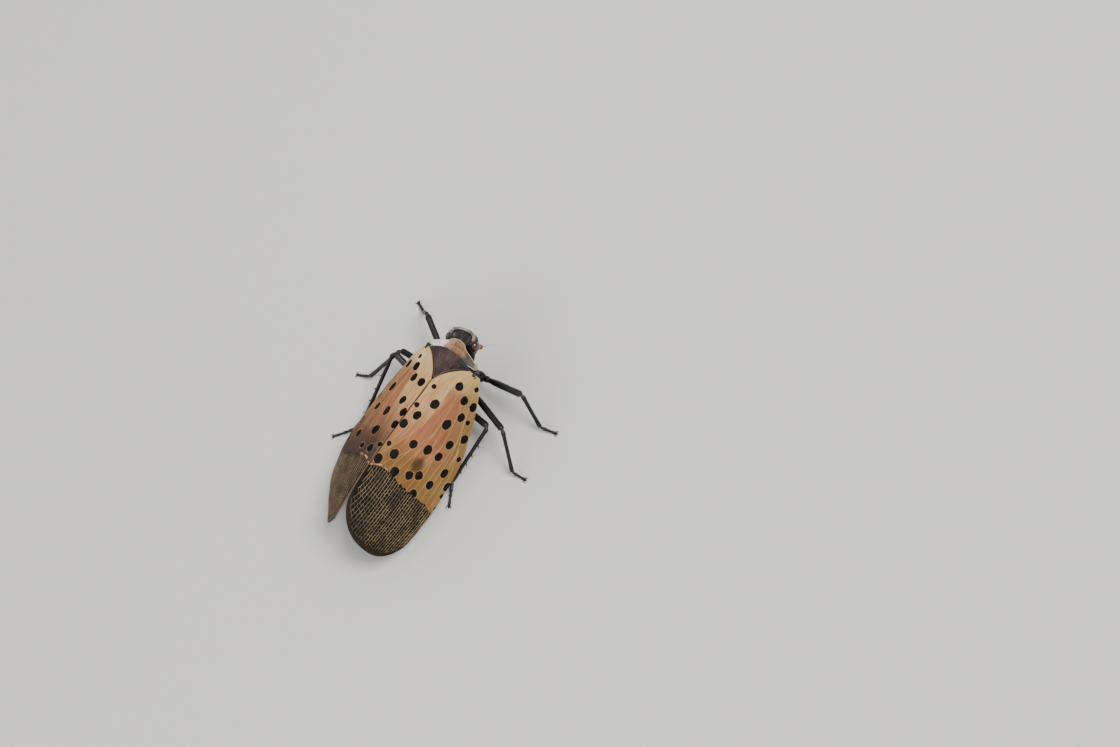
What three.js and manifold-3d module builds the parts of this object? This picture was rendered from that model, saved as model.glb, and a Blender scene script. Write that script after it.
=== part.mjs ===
// A spotted lanternfly at rest, life size, as a museum model of a female about to lay.
// Millimetres, +Z up, head towards -Y. The body stands on the soles of its six feet at z = 0.
import * as THREE from "three";
import { mergeVertices } from "three/addons/utils/BufferGeometryUtils.js";
import Module from "manifold-3d";

const wasm = await Module();
wasm.setup();

// Driving dimensions of the animal. Its own stations along y are counted from the middle of the
// pronotum, and the finished model is moved so that its bounding box is centred on the origin.
const BOX_CENTRE = { x: -0.52, y: 9.24 };
const GAP = 0.3;
const WING_THICKNESS = 0.5;
const VEIN = { height: 0.15, foot: 0.16 };

// The folded wings make a roof. These give its ridge, the half width and the height of its lower
// edge on either side, and how far the ridge sways to the left, at stations along the body. The
// left wing hangs steeper than the right one at its tip.
const RIDGE_HEIGHT = profile([[-1, 7.2], [1, 7.35], [14, 7.35], [18, 7.0], [22.5, 6.2]]);
const ROOF_FRONT_WIDTH = [[0.9, 3.75], [2, 4.35], [5, 5.3], [9.2, 6.25], [13.3, 6.5]];
const ROOF_FRONT_HEIGHT = [[0.9, 5.75], [2, 5.25], [4.2, 4.3], [6.4, 3.5], [9.2, 2.4], [13.3, 1.65]];
const ROOF = {
  right: {
    halfWidth: profile([...ROOF_FRONT_WIDTH, [17.3, 6.45], [22.5, 6.0]]),
    edgeHeight: profile([...ROOF_FRONT_HEIGHT, [17.3, 1.6], [22.5, 1.9]]),
    apex: { reach: 22.54, inner: 18.3, outer: 19.0, lean: 0.6 },
  },
  left: {
    halfWidth: profile([...ROOF_FRONT_WIDTH, [15.4, 6.2], [17.7, 5.6], [20, 4.2], [22.5, 2.0]]),
    edgeHeight: profile([...ROOF_FRONT_HEIGHT, [15.4, 1.4], [17.7, 1.15], [22.5, 0.85]]),
    apex: { reach: 22.15, inner: 21.3, outer: 18.7, lean: 0.4 },
  },
};
const ROOF_SAG = 0.1;
const TAIL_SWAY = profile([[4, 0], [13, 0.3]]);

// The inner edge of each forewing runs beside the mesonotum and then along the ridge.
const WING_FRONT = 0.95;
const INNER_EDGE = profile([
  [WING_FRONT, 2.75], [1.3, 2.25], [1.75, 1.7], [2.4, 1.05], [3.1, 0.5], [3.9, GAP / 2],
]);

// The veins of a forewing. The claval suture parts the strip beside the inner edge from the rest of
// the wing, and runs into that edge where the net of fine veins at the tip begins. The shares give
// the cubitus, the media and the radius across the rest. Each space between veins is parted once
// more by a branch in the tip.
const CLAVAL_SUTURE = profile([[0, 0.42], [0.3, 0.3], [0.6, 0.07], [0.72, 0.03]]);
const LONG_VEINS = [0.27, 0.52, 0.76];
const NET_START = 0.58;

const HINDWING = {
  front: 4.95,
  across: 0.86,
  pleats: 8,
  apex: { reach: 18.4, inner: 13.5, outer: 13.5, lean: 0.6 },
};

// The collar is a low arch with a lobe that hangs down at each end.
const PRONOTUM = { halfWidth: 3.05, thickness: 0.5, lobe: 0.95, keel: 0.12, crown: 7.2 };
const PRONOTUM_ARCH = { drop: 0.07, lean: 0.15 };
const PRONOTUM_LOBE = { drop: 0.95, lean: 0.5, spread: 0.2 };
const PRONOTUM_FRONT = profile([[0, -1.27], [0.75, -1.1], [1.2, -0.72], [2, -0.38], [3.05, 0.05], [4, 0.2]]);
const PRONOTUM_REAR = profile([[0, 0.42], [1.3, 0.55], [2.2, 0.62], [3.05, 0.6], [4, 0.55]]);
const MESONOTUM = {
  front: 0.95,
  tip: 3.35,
  dome: 0.22,
  keel: 0.1,
  keelsAt: [-0.5, 0, 0.5],
  bow: 0.4,
  bowHalfWidth: 2.2,
  narrowest: 0.12,
  edgeGap: 0.35,
};
const TEGULA = { place: [3.2, 0.72, 6.5], radii: [0.3, 0.3, 0.25] };

const THORAX = {
  front: -0.65,
  rear: 4.65,
  halfWidth: 2.7,
  neckWidth: 0.82,
  floor: 1.85,
  neckFloor: 0.5,
  sideHeight: 3.0,
  squareness: 0.62,
};
const COXA = { reach: 1.45, foremost: 0.3, height: 2.08, radii: [0.97, 0.7, 0.6] };
const ABDOMEN = {
  front: 4.95,
  rear: 15.2,
  halfWidth: 2.95,
  floor: 1.2,
  segments: 7,
  step: 0.045,
  taperFrom: 0.4,
  taperLength: 0.66,
  topDrop: 1.6,
  floorRise: 1.0,
};
const VALVIFER = { front: 15.5, length: 1.7, spread: 0.62, height: 3.1, drop: 0.25, radii: [0.75, 0.62] };

const HEAD = { neck: -0.95, yaw: 0.16, shift: 0.25, keel: 0.09, keelColumns: [1, 3, 20, 22], keelTop: 6.5 };
const SOCKET_GAP = GAP - 0.02;
// The head in level slices, from the tip of the clypeus to the sunken crown.
const HEAD_SLICES = [
  { z: 2.15, half: 0.34, front: -1.8, back: -1.3 },
  { z: 2.6, half: 0.55, front: -1.98, back: -1.15 },
  { z: 3.2, half: 0.92, front: -2.15, back: -1.0 },
  { z: 3.5, half: 1.15, front: -2.2, back: -0.95 },
  { z: 4.1, half: 1.4, front: -2.38, back: -0.95 },
  { z: 4.9, half: 1.6, front: -2.5, back: -0.95 },
  { z: 5.6, half: 1.72, front: -2.6, back: -0.95 },
  { z: 6.2, half: 1.66, front: -2.74, back: -0.95 },
  { z: 6.52, half: 1.42, front: -2.68, back: -1.0 },
  { z: 6.42, half: 1.1, front: -2.35, back: -1.15 },
];
const EYE = { place: [1.5, -1.5, 5.75], radii: [0.42, 0.52, 0.66] };
const ANTENNA = { place: [1.75, -1.75, 4.6], bulb: 0.42, bristle: 1.9, reach: [0.75, -0.5], rise: 0.5 };

// The beak's middle line, from the clypeus back between the legs.
const ROSTRUM_LINE = [[0.35, -1.4, 1.75], [0.2, -0.55, 1.2], [0.05, 1.2, 1.0], [0, 3.2, 0.95], [0, 5.2, 0.9]];
const ROSTRUM_RADII = [[0, 0.34], [0.3, 0.27], [0.85, 0.25], [1, 0.12]];
const ROSTRUM_EDGE = 0.04;

const LEG_RADIUS = {
  coxa: 0.55,
  trochanter: 0.36,
  femur: 0.42,
  knee: 0.34,
  tibia: 0.26,
  ankle: 0.27,
  tarsus: 0.26,
  waist: 0.187,
};
// The foot's radius at shares of its length, as shares of the tarsus: three joints with waists.
const TARSUS_SHAPE = [
  [0, 1], [0.25, 0.9], [0.42, 1], [0.47, 0.72], [0.52, 0.95], [0.62, 1], [0.67, 0.72], [0.8, 0.85], [1, 0.95],
];
const TARSUS_STATIONS = [0, 0.2, 0.42, 0.47, 0.53, 0.62, 0.67, 0.77, 0.86, 1];
const LEG_RIDGE = 0.07;
const KNEE_BEND = 0.7;
const ANKLE_BEND = 0.4;
const ANKLE_HEIGHT = 0.62;
const SOLE_HEIGHT = 0.12;
const CLAW = { length: 0.62, spread: 0.55, radius: 0.13, sunk: 0.12, apart: 0.06, droop: 0.12 };
const SPINE = { length: 0.5, radius: 0.14, lean: 0.9, along: [0.3, 0.48, 0.64, 0.8] };
const CROWN = { count: 5, length: 0.34, radius: 0.12, turn: 0.75, lean: 0.5, before: 0.3 };

// The pose of the legs: where each leaves the thorax, and its knee, ankle and toe.
const LEGS = {
  fore_right: { root: 0.15, knee: [-8.06, -0.19, 4.0], ankle: [-10.4, 1.2], toe: [-11.95, 0.85] },
  mid_right: { root: 2.2, knee: [-8.71, 4.12, 4.4], ankle: [-10.72, 6.84], toe: [-12.05, 6.75] },
  hind_right: { root: 3.95, knee: [-6.7, 4.49, 3.4], ankle: [-5.65, 10.95], toe: [-6.72, 13.3] },
  fore_left: { root: 0.15, knee: [6.73, -2.43, 3.6], ankle: [8.7, -2.95], toe: [10.0, -3.55] },
  mid_left: { root: 2.2, knee: [7.0, 2.34, 3.2], ankle: [9.46, 6.12], toe: [10.95, 6.6] },
  hind_left: { root: 4.0, knee: [6.94, 3.08, 4.4], ankle: [6.87, 11.3], toe: [9.05, 13.6] },
};

const CUTICLE = { color: 0x1b1b1e, roughness: 0.35, metalness: 0 };
const COLOURS = {
  forewing: { color: 0xb59a76, roughness: 0.55, metalness: 0 },
  hindwing: { color: 0xa3271c, roughness: 0.6, metalness: 0 },
  pronotum: { color: 0x9a9080, roughness: 0.6, metalness: 0 },
  mesonotum: { color: 0x41383a, roughness: 0.45, metalness: 0 },
  abdomen: { color: 0xc9a23a, roughness: 0.5, metalness: 0 },
  valvifers: { color: 0xa8231f, roughness: 0.45, metalness: 0 },
  eye: { color: 0x35222b, roughness: 0.2, metalness: 0 },
  antenna: { color: 0xd2602f, roughness: 0.5, metalness: 0 },
};

// A smooth curve through a few [station, value] pairs, level beyond the first and the last.
function profile(pairs) {
  const last = pairs.length - 1;
  const slope = (i) => {
    const a = pairs[Math.max(i - 1, 0)];
    const b = pairs[Math.min(i + 1, last)];
    return (b[1] - a[1]) / (b[0] - a[0]);
  };
  return (at) => {
    if (at <= pairs[0][0]) return pairs[0][1];
    if (at >= pairs[last][0]) return pairs[last][1];
    const i = pairs.findIndex((pair) => pair[0] > at) - 1;
    const span = pairs[i + 1][0] - pairs[i][0];
    const t = (at - pairs[i][0]) / span;
    const rise = (2 * t - 3) * t * t;
    return (
      (1 + rise) * pairs[i][1] -
      rise * pairs[i + 1][1] +
      span * t * (1 - t) * ((1 - t) * slope(i) - t * slope(i + 1))
    );
  };
}

const range = (count) => Array.from({ length: count }, (_, i) => i);
const shares = (count) => range(count).map((i) => i / (count - 1));
const point = (x, y, z) => new THREE.Vector3(x, y, z);
const power = (value, exponent) => Math.sign(value) * Math.abs(value) ** exponent;
const { lerp, smoothstep } = THREE.MathUtils;

// A closed geometry from points and faces, turned so that its faces point outwards.
function closedGeometry(points, faces) {
  const volume = faces.reduce((sum, [a, b, c]) => {
    return sum + points[a].dot(points[b].clone().cross(points[c]));
  }, 0);
  const outward = volume < 0 ? faces.map(([a, b, c]) => [a, c, b]) : faces;
  const geometry = new THREE.BufferGeometry().setFromPoints(points);
  geometry.setIndex(outward.flat());
  geometry.computeVertexNormals();
  return geometry;
}

// A closed shell between an outer and an inner face, both given at the same stations along and
// across, so that they are split into triangles alike.
function shell(alongStations, acrossStations, outer, inner) {
  const rows = alongStations.length;
  const columns = acrossStations.length;
  const points = [];
  for (const face of [outer, inner]) {
    for (const along of alongStations) {
      for (const across of acrossStations) points.push(face(along, across));
    }
  }
  const at = (face, i, j) => (face * rows + i) * columns + j;
  const faces = [];
  const quad = (a, b, c, d) => faces.push([a, b, c], [a, c, d]);
  for (let i = 0; i < rows - 1; i++) {
    for (let j = 0; j < columns - 1; j++) {
      quad(at(0, i, j), at(0, i + 1, j), at(0, i + 1, j + 1), at(0, i, j + 1));
      faces.push([at(1, i, j), at(1, i + 1, j + 1), at(1, i + 1, j)]);
      faces.push([at(1, i, j), at(1, i, j + 1), at(1, i + 1, j + 1)]);
    }
  }
  for (let i = 0; i < rows - 1; i++) {
    quad(at(0, i + 1, 0), at(0, i, 0), at(1, i, 0), at(1, i + 1, 0));
    quad(at(0, i, columns - 1), at(0, i + 1, columns - 1), at(1, i + 1, columns - 1), at(1, i, columns - 1));
  }
  for (let j = 0; j < columns - 1; j++) {
    quad(at(0, 0, j), at(0, 0, j + 1), at(1, 0, j + 1), at(1, 0, j));
    quad(at(0, rows - 1, j + 1), at(0, rows - 1, j), at(1, rows - 1, j), at(1, rows - 1, j + 1));
  }
  return closedGeometry(points, faces);
}

// A closed body through a row of rings that all have the same number of points.
function loft(rings) {
  const sides = rings[0].length;
  const points = rings.flat();
  const faces = [];
  for (let i = 0; i < rings.length - 1; i++) {
    for (let j = 0; j < sides; j++) {
      const next = (j + 1) % sides;
      const [a, b] = [i * sides + j, i * sides + next];
      faces.push([a, b, b + sides], [a, b + sides, a + sides]);
    }
  }
  for (const end of [0, rings.length - 1]) {
    const middle = points.length;
    const sum = rings[end].reduce((total, p) => total.add(p), new THREE.Vector3());
    points.push(sum.divideScalar(sides));
    for (let j = 0; j < sides; j++) {
      const [a, b] = [end * sides + j, end * sides + ((j + 1) % sides)];
      faces.push(end === 0 ? [a, middle, b] : [a, b, middle]);
    }
  }
  return closedGeometry(points, faces);
}

// A closed geometry as a solid that can be joined or cut.
function solid(geometry) {
  const bare = geometry.clone();
  bare.deleteAttribute("normal");
  bare.deleteAttribute("uv");
  const merged = mergeVertices(bare, 1e-4);
  return new wasm.Manifold(
    new wasm.Mesh({
      numProp: 3,
      vertProperties: new Float32Array(merged.attributes.position.array),
      triVerts: new Uint32Array(merged.index.array),
    }),
  );
}

// The largest closed surface of a solid, as a geometry.
function largest(body) {
  const pieces = body.decompose().sort((a, b) => b.volume() - a.volume());
  const mesh = pieces[0].getMesh();
  const geometry = new THREE.BufferGeometry();
  geometry.setAttribute("position", new THREE.BufferAttribute(new Float32Array(mesh.vertProperties), 3));
  geometry.setIndex(new THREE.BufferAttribute(new Uint32Array(mesh.triVerts), 1));
  geometry.computeVertexNormals();
  return geometry;
}

const joined = (pieces) => largest(pieces.map(solid).reduce((all, piece) => all.add(piece)));

function sphereAt(place, radii, sides = 14) {
  const sphere = new THREE.SphereGeometry(1, sides, Math.round(sides * 0.6));
  return sphere.scale(...radii).translate(...place);
}

// A cone from a root, sunk a little into what it grows on, to a sharp tip.
function thorn(root, direction, length, radius, sides = 5) {
  const cone = new THREE.ConeGeometry(radius, length, sides).translate(0, length / 2, 0);
  const turn = new THREE.Quaternion().setFromUnitVectors(point(0, 1, 0), direction.clone().normalize());
  return cone.applyQuaternion(turn).translate(root.x, root.y, root.z);
}

// A tube with a smoothly changing radius and lengthwise ridges along part of a curve, measured in
// millimetres.
function limb(curve, stations, radiusAt, { sides = 8, ridge = 0, shape = (p) => p } = {}) {
  const length = curve.getLength();
  let normal = point(0, 0, 1);
  const rings = stations.map((at) => {
    const centre = curve.getPointAt(at / length);
    const tangent = curve.getTangentAt(at / length);
    normal = normal.clone().addScaledVector(tangent, -normal.dot(tangent)).normalize();
    const binormal = tangent.clone().cross(normal);
    return range(sides).map((j) => {
      const turn = ((j + 0.5) / sides) * 2 * Math.PI;
      const radius = radiusAt(at) * (1 + (j % 2 ? ridge : -ridge));
      const out = normal.clone().multiplyScalar(Math.cos(turn)).addScaledVector(binormal, Math.sin(turn));
      return shape(centre.clone().addScaledVector(out, radius));
    });
  });
  return loft(rings);
}

// A point of the roof that the wings make: side is 1 on the left and -1 on the right, across
// runs from 0 on the ridge to 1 on the lower edge, and depth is how far below the top it lies.
function roofPoint(side, y, across, depth = 0) {
  const wing = side > 0 ? ROOF.left : ROOF.right;
  const [ridge, edge] = [RIDGE_HEIGHT(y), wing.edgeHeight(y)];
  const halfWidth = wing.halfWidth(y);
  const drop = ridge - edge;
  const bend = {
    x: halfWidth / 2 + 2 * ROOF_SAG * drop,
    z: (ridge + edge) / 2 + 2 * ROOF_SAG * halfWidth,
  };
  const back = 1 - across;
  const x = 2 * across * back * bend.x + across * across * halfWidth;
  const z = back * back * ridge + 2 * across * back * bend.z + across * across * edge;
  const slope = new THREE.Vector2(
    back * bend.x + across * (halfWidth - bend.x),
    back * (bend.z - ridge) + across * (edge - bend.z),
  ).normalize();
  // Close to the ridge the thickness is taken straight down, so that the two sides stay apart.
  const lean = smoothstep(x, GAP / 2, 1.2);
  const inward = depth * -slope.y * lean;
  const down = depth * lerp(1 / slope.x, slope.x, lean);
  return point(side * (x - inward) + TAIL_SWAY(y), y, z - down);
}

// The share across one side of the roof at which its top lies a given distance from the middle.
function acrossAt(side, y, distance) {
  let [low, high] = [0, 1];
  for (let step = 0; step < 30; step++) {
    const middle = (low + high) / 2;
    if (side * (roofPoint(side, y, middle).x - TAIL_SWAY(y)) < distance) low = middle;
    else high = middle;
  }
  return (low + high) / 2;
}

// How far back a wing reaches at a share of the way across it: a broad round end.
function roundedEnd({ reach, inner, outer, lean }, share) {
  const shoulder = share < lean ? inner : outer;
  const away = share < lean ? 1 - share / lean : (share - lean) / (1 - lean);
  return shoulder + (reach - shoulder) * Math.sqrt(Math.max(0, 1 - away ** 2.3));
}

// Where the veins of a forewing lie across it at a share of the way along it: the inner edge, the
// anal vein, the claval suture, three long veins and the thick front edge.
function veinShares(along) {
  const suture = CLAVAL_SUTURE(along);
  return [0, suture / 2, suture, ...LONG_VEINS.map((share) => lerp(suture, 1, share)), 1];
}

// The grid lines of a forewing from its inner to its front edge: each vein is a crest between two
// feet, and each space between them holds a branch. A line is given by the space that it lies in
// and by its place there, and its rise is the share of the veins' height at a share along the wing.
function wingLines() {
  const main = (along) => smoothstep(along, 0, 0.1) * lerp(1, 0.7, along);
  const claval = (along) => main(along) * (1 - smoothstep(along, NET_START - 0.05, NET_START + 0.1));
  const branch = (along) => 0.75 * smoothstep(along, NET_START - 0.08, NET_START + 0.06);
  const flat = () => 0;
  const lines = [{ space: 0, part: 0, rise: flat }];
  for (const space of range(LONG_VEINS.length + 3)) {
    const clavus = space < 2;
    lines.push({ space, part: "foot before", rise: flat });
    if (!clavus) lines.push({ space, part: 0.3, rise: flat });
    if (!clavus) lines.push({ space, part: 0.5, rise: branch });
    if (!clavus) lines.push({ space, part: 0.7, rise: flat });
    lines.push({ space, part: "foot after", rise: flat });
    lines.push({ space, part: 1, rise: clavus ? claval : main });
  }
  return lines;
}

function lineShare({ space, part }, along, width) {
  const veins = veinShares(along);
  const [from, to] = [veins[space], veins[space + 1]];
  const foot = Math.min(VEIN.foot / width, (to - from) * 0.25);
  if (part === "foot before") return from + foot;
  if (part === "foot after") return to - foot;
  return lerp(from, to, part);
}

function forewing(side) {
  const { apex } = side > 0 ? ROOF.left : ROOF.right;
  const at = (along, line, depth) => {
    const rough = lerp(WING_FRONT, apex.reach, along);
    const width = roofPoint(side, rough, 0).distanceTo(roofPoint(side, rough, 1));
    const share = lineShare(line, along, width);
    const y = lerp(WING_FRONT, roundedEnd(apex, share), along);
    const start = acrossAt(side, y, INNER_EDGE(y));
    return roofPoint(side, y, start + (1 - start) * share, depth);
  };
  const outer = (along, line) => at(along, line, -VEIN.height * line.rise(along));
  const inner = (along, line) => at(along, line, WING_THICKNESS);
  return shell(shares(17), wingLines(), outer, inner);
}

// The folded hindwing, pleated along its length with the folds on its under side.
function hindwing(side) {
  const top = WING_THICKNESS + GAP;
  const face = (depth) => (along, column) => {
    const share = column / (2 * HINDWING.pleats);
    const y = lerp(HINDWING.front, roundedEnd(HINDWING.apex, share), along);
    const start = acrossAt(side, y, GAP);
    return roofPoint(side, y, start + (HINDWING.across - start) * share, depth(column));
  };
  const under = (column) => top + WING_THICKNESS + (column % 2 ? VEIN.height : 0);
  return shell(shares(9), range(2 * HINDWING.pleats + 1), face(() => top), face(under));
}

// The dark shield between the roots of the wings, with three keels.
function mesonotum() {
  const { front, tip, dome, keel, bow, bowHalfWidth } = MESONOTUM;
  const lines = [-1, -0.8, -0.62, -0.5, -0.38, -0.12, 0, 0.12, 0.38, 0.5, 0.62, 0.8, 1];
  const face = (depth, rise) => (along, across) => {
    const y = lerp(front, tip, along);
    const halfWidth = Math.max(INNER_EDGE(y) - MESONOTUM.edgeGap, MESONOTUM.narrowest);
    const x = across * halfWidth;
    const crown = dome * (1 - across ** 2) * (1 - along);
    const crest = MESONOTUM.keelsAt.includes(across) ? keel * (1 - along) : 0;
    const forward = bow * (1 - along) * (1 - (x / bowHalfWidth) ** 2);
    const place = roofPoint(1, y, acrossAt(1, y, Math.abs(x)), depth);
    return point(x, y - forward, place.z + crown + rise * crest);
  };
  return shell(shares(7), lines, face(0, 1), face(WING_THICKNESS, 0));
}

function pronotumPoint(s, along, depth) {
  const side = Math.sign(s);
  const flat = Math.min(Math.abs(s), PRONOTUM.halfWidth);
  const lobe = Math.max(Math.abs(s) - PRONOTUM.halfWidth, 0);
  const y = lerp(PRONOTUM_FRONT(Math.abs(s)), PRONOTUM_REAR(Math.abs(s)), along);
  const lean = PRONOTUM_ARCH.lean * flat + PRONOTUM_LOBE.lean * Math.min(lobe, 1);
  const z = PRONOTUM.crown - PRONOTUM_ARCH.drop * flat * flat - PRONOTUM_LOBE.drop * lobe;
  const x = flat + PRONOTUM_LOBE.spread * lobe;
  return point(side * (x - depth * Math.sin(lean)), y, z - depth * Math.cos(lean));
}

// The collar behind the head, with a keel along its middle.
function pronotum() {
  const reach = PRONOTUM.halfWidth + PRONOTUM.lobe;
  const half = [0.04, 0.125, 0.25, 0.375, 0.5, 0.625, 0.75, 0.875, 1];
  const lines = [...half.map((share) => -share).reverse(), 0, ...half];
  const keel = (across) => (across === 0 ? PRONOTUM.keel : 0);
  const outer = (along, across) => pronotumPoint(across * reach, along, -keel(across));
  const inner = (along, across) => pronotumPoint(across * reach, along, PRONOTUM.thickness);
  return shell(shares(5), lines, outer, inner);
}

// The thorax fills the space under the roots of the wings. The hip joints of the legs swell from
// its under side.
function thorax() {
  const roofDepth = WING_THICKNESS + GAP;
  const collarDepth = PRONOTUM.thickness + GAP + 0.2;
  const sides = 20;
  const rings = [0, 0.06, 0.2, 0.4, 0.6, 0.8, 1].map((share) => {
    const y = lerp(THORAX.front, THORAX.rear, share);
    const flare = Math.sin((Math.min(share * 4, 1) * Math.PI) / 2);
    const width = THORAX.halfWidth * lerp(THORAX.neckWidth, 1, flare);
    const low = THORAX.floor + THORAX.neckFloor * (1 - Math.min(share * 8, 1));
    const underWings = Math.max(y, WING_FRONT);
    const high = roofPoint(1, underWings, 0.001, roofDepth).z;
    return range(sides).map((j) => {
      const turn = (j / sides) * 2 * Math.PI;
      const x = width * power(Math.sin(turn), THORAX.squareness);
      const z = (high + low) / 2 + ((high - low) / 2) * power(Math.cos(turn), THORAX.squareness);
      const underWing = roofPoint(1, underWings, acrossAt(1, underWings, Math.abs(x)), roofDepth).z;
      const collar = PRONOTUM.crown - collarDepth - PRONOTUM_ARCH.drop * x * x;
      const underPronotum = y < WING_FRONT ? collar : Infinity;
      return point(x, y, Math.min(z, underWing, underPronotum));
    });
  });
  const hips = Object.entries(LEGS).map(([name, { root }]) => {
    const side = name.endsWith("left") ? 1 : -1;
    return sphereAt([side * COXA.reach, Math.max(root, COXA.foremost), COXA.height], COXA.radii, 10);
  });
  return joined([loft(rings), ...hips]);
}

// The abdomen in rings, each a little wider at its rear than the next one at its front.
function abdomen() {
  const depth = 2 * (WING_THICKNESS + GAP) + VEIN.height;
  const sides = 16;
  const { taperFrom, taperLength, topDrop, floorRise } = ABDOMEN;
  const stations = range(ABDOMEN.segments).flatMap((i) => [i, i + 0.5, i + 0.94]);
  const rings = [...stations, ABDOMEN.segments].map((at) => {
    const share = at / ABDOMEN.segments;
    const y = lerp(ABDOMEN.front, ABDOMEN.rear, share);
    const taper = Math.sqrt(Math.max(0, 1 - (Math.max(share - taperFrom, 0) / taperLength) ** 2));
    const swell = 1 + ABDOMEN.step * ((at % 1) - 0.5);
    const width = ABDOMEN.halfWidth * taper * swell * (0.9 + 0.1 * Math.min(share * 5, 1));
    const roof = roofPoint(1, y, 0.001, depth).z;
    const top = roof - GAP / 2 - topDrop * (1 - taper);
    const bottom = ABDOMEN.floor + floorRise * (1 - taper) - 1.5 * (swell - 1);
    return range(sides).map((j) => {
      const turn = (j / sides) * 2 * Math.PI;
      const x = width * Math.sin(turn);
      const z = (top + bottom) / 2 + ((top - bottom) / 2) * Math.cos(turn);
      const side = x < 0 ? -1 : 1;
      const limit = roofPoint(side, y, acrossAt(side, y, Math.abs(x)), depth).z;
      return point(x + TAIL_SWAY(y), y, Math.min(z, limit));
    });
  });
  return loft(rings);
}

// The two plates at the end of a female's abdomen, joined at their root.
function valvifers() {
  const { front, length, spread, height, drop, radii } = VALVIFER;
  const sides = 10;
  const lobes = [-1, 1].map((side) => {
    const rings = [0, 0.15, 0.45, 0.75, 0.95].map((share) => {
      const size = Math.sqrt(1 - share ** 2.2) * lerp(0.85, 1, Math.min(share * 4, 1));
      return range(sides).map((j) => {
        const turn = (j / sides) * 2 * Math.PI;
        return point(
          TAIL_SWAY(front) + side * spread + radii[0] * size * Math.sin(turn),
          front + share * length,
          height - drop * share + radii[1] * size * Math.cos(turn),
        );
      });
    });
    return loft(rings);
  });
  return joined(lobes);
}

// The head capsule with its keeled face, narrowing to the clypeus, and the sockets of the eyes and
// the feelers.
function head() {
  const sides = 24;
  const rings = HEAD_SLICES.map(({ z, half, front, back }) => range(sides).map((j) => {
    const turn = ((j + 0.5) / sides) * 2 * Math.PI;
    const [s, c] = [Math.sin(turn), Math.cos(turn)];
    const keeled = HEAD.keelColumns.includes(j) && z < HEAD.keelTop;
    const y = (front + back) / 2 + ((front - back) / 2) * power(c, 0.7) - (keeled ? HEAD.keel : 0);
    return point(half * power(s, 0.8), y, z);
  }));
  let body = solid(loft(rings));
  for (const side of [-1, 1]) {
    const [x, y, z] = EYE.place;
    body = body.subtract(solid(sphereAt([side * x, y, z], EYE.radii.map((r) => r + SOCKET_GAP))));
    const [ax, ay, az] = ANTENNA.place;
    const room = ANTENNA.bulb + SOCKET_GAP;
    body = body.subtract(solid(sphereAt([side * ax, ay, az], [room, room, room])));
  }
  return largest(body);
}

function eye(side) {
  const [x, y, z] = EYE.place;
  return sphereAt([side * x, y, z], EYE.radii);
}

// The round second joint of the feeler with its bristle.
function antenna(side) {
  const [x, y, z] = ANTENNA.place;
  const start = point(side * x, y, z);
  const [aside, ahead] = ANTENNA.reach.map((share) => share * ANTENNA.bristle);
  const end = point(side * (x + aside), y + ahead, z + ANTENNA.rise);
  const curve = new THREE.LineCurve3(start, end);
  const length = curve.getLength();
  const radius = profile([[0, 0.28], [ANTENNA.bulb, 0.26], [length * 0.6, 0.14], [length, 0.04]]);
  const bristle = limb(curve, [0.1, 0.5, 1, 1.5, length], radius, { sides: 6 });
  return joined([sphereAt([side * x, y, z], Array(3).fill(ANTENNA.bulb), 12), bristle]);
}

// The beak lies under the body between the legs.
function rostrum() {
  const curve = new THREE.CatmullRomCurve3(ROSTRUM_LINE.map((place) => point(...place)));
  const length = curve.getLength();
  const radius = profile(ROSTRUM_RADII);
  const stations = shares(12).map((share) => share * length);
  return limb(curve, stations, (at) => radius(at / length), { ridge: ROSTRUM_EDGE });
}

function tegula(side) {
  const [x, y, z] = TEGULA.place;
  return sphereAt([side * x, y, z], TEGULA.radii, 10);
}

// A leg's middle line: straight stretches joined by round bends at the knee and the ankle.
function legCurve(side, { root, knee, ankle, toe }) {
  const corners = [
    point(side * (THORAX.halfWidth + GAP), root, THORAX.sideHeight - 0.15),
    point(...knee),
    point(...ankle, ANKLE_HEIGHT),
    point(...toe, SOLE_HEIGHT),
  ];
  const bends = [KNEE_BEND, ANKLE_BEND];
  const path = new THREE.CurvePath();
  let from = corners[0];
  bends.forEach((bend, i) => {
    const [before, corner, after] = corners.slice(i, i + 3);
    const enter = corner.clone().addScaledVector(before.clone().sub(corner).normalize(), bend);
    const leave = corner.clone().addScaledVector(after.clone().sub(corner).normalize(), bend);
    path.add(new THREE.LineCurve3(from, enter));
    path.add(new THREE.QuadraticBezierCurve3(enter, corner, leave));
    from = leave;
  });
  path.add(new THREE.LineCurve3(from, corners[3]));
  return path;
}

// The spines on the outer side of a hind tibia and the crown of short ones round its end.
function tibiaSpines(path, from, to) {
  const total = path.getLength();
  const pieces = SPINE.along.map((share) => {
    const at = lerp(from, to, share);
    const tangent = path.getTangentAt(at / total);
    const outward = point(0, 0, 1).cross(tangent).normalize();
    const away = outward.multiplyScalar(Math.sign(outward.x) * Math.sign(path.getPointAt(0).x));
    const root = path.getPointAt(at / total).addScaledVector(away, LEG_RADIUS.tibia * 0.4);
    return thorn(root, away.clone().addScaledVector(tangent, SPINE.lean), SPINE.length, SPINE.radius);
  });
  const end = (to - CROWN.before) / total;
  const tangent = path.getTangentAt(end);
  const up = point(0, 0, 1).addScaledVector(tangent, -tangent.z).normalize();
  const aside = tangent.clone().cross(up);
  for (const i of range(CROWN.count)) {
    const turn = lerp(-CROWN.turn, CROWN.turn, i / (CROWN.count - 1)) * Math.PI;
    const out = up.clone().multiplyScalar(-Math.cos(turn)).addScaledVector(aside, Math.sin(turn));
    const root = path.getPointAt(end).addScaledVector(out, LEG_RADIUS.ankle * 0.6);
    pieces.push(thorn(root, out.addScaledVector(tangent, CROWN.lean), CROWN.length, CROWN.radius, 4));
  }
  return pieces;
}

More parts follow.
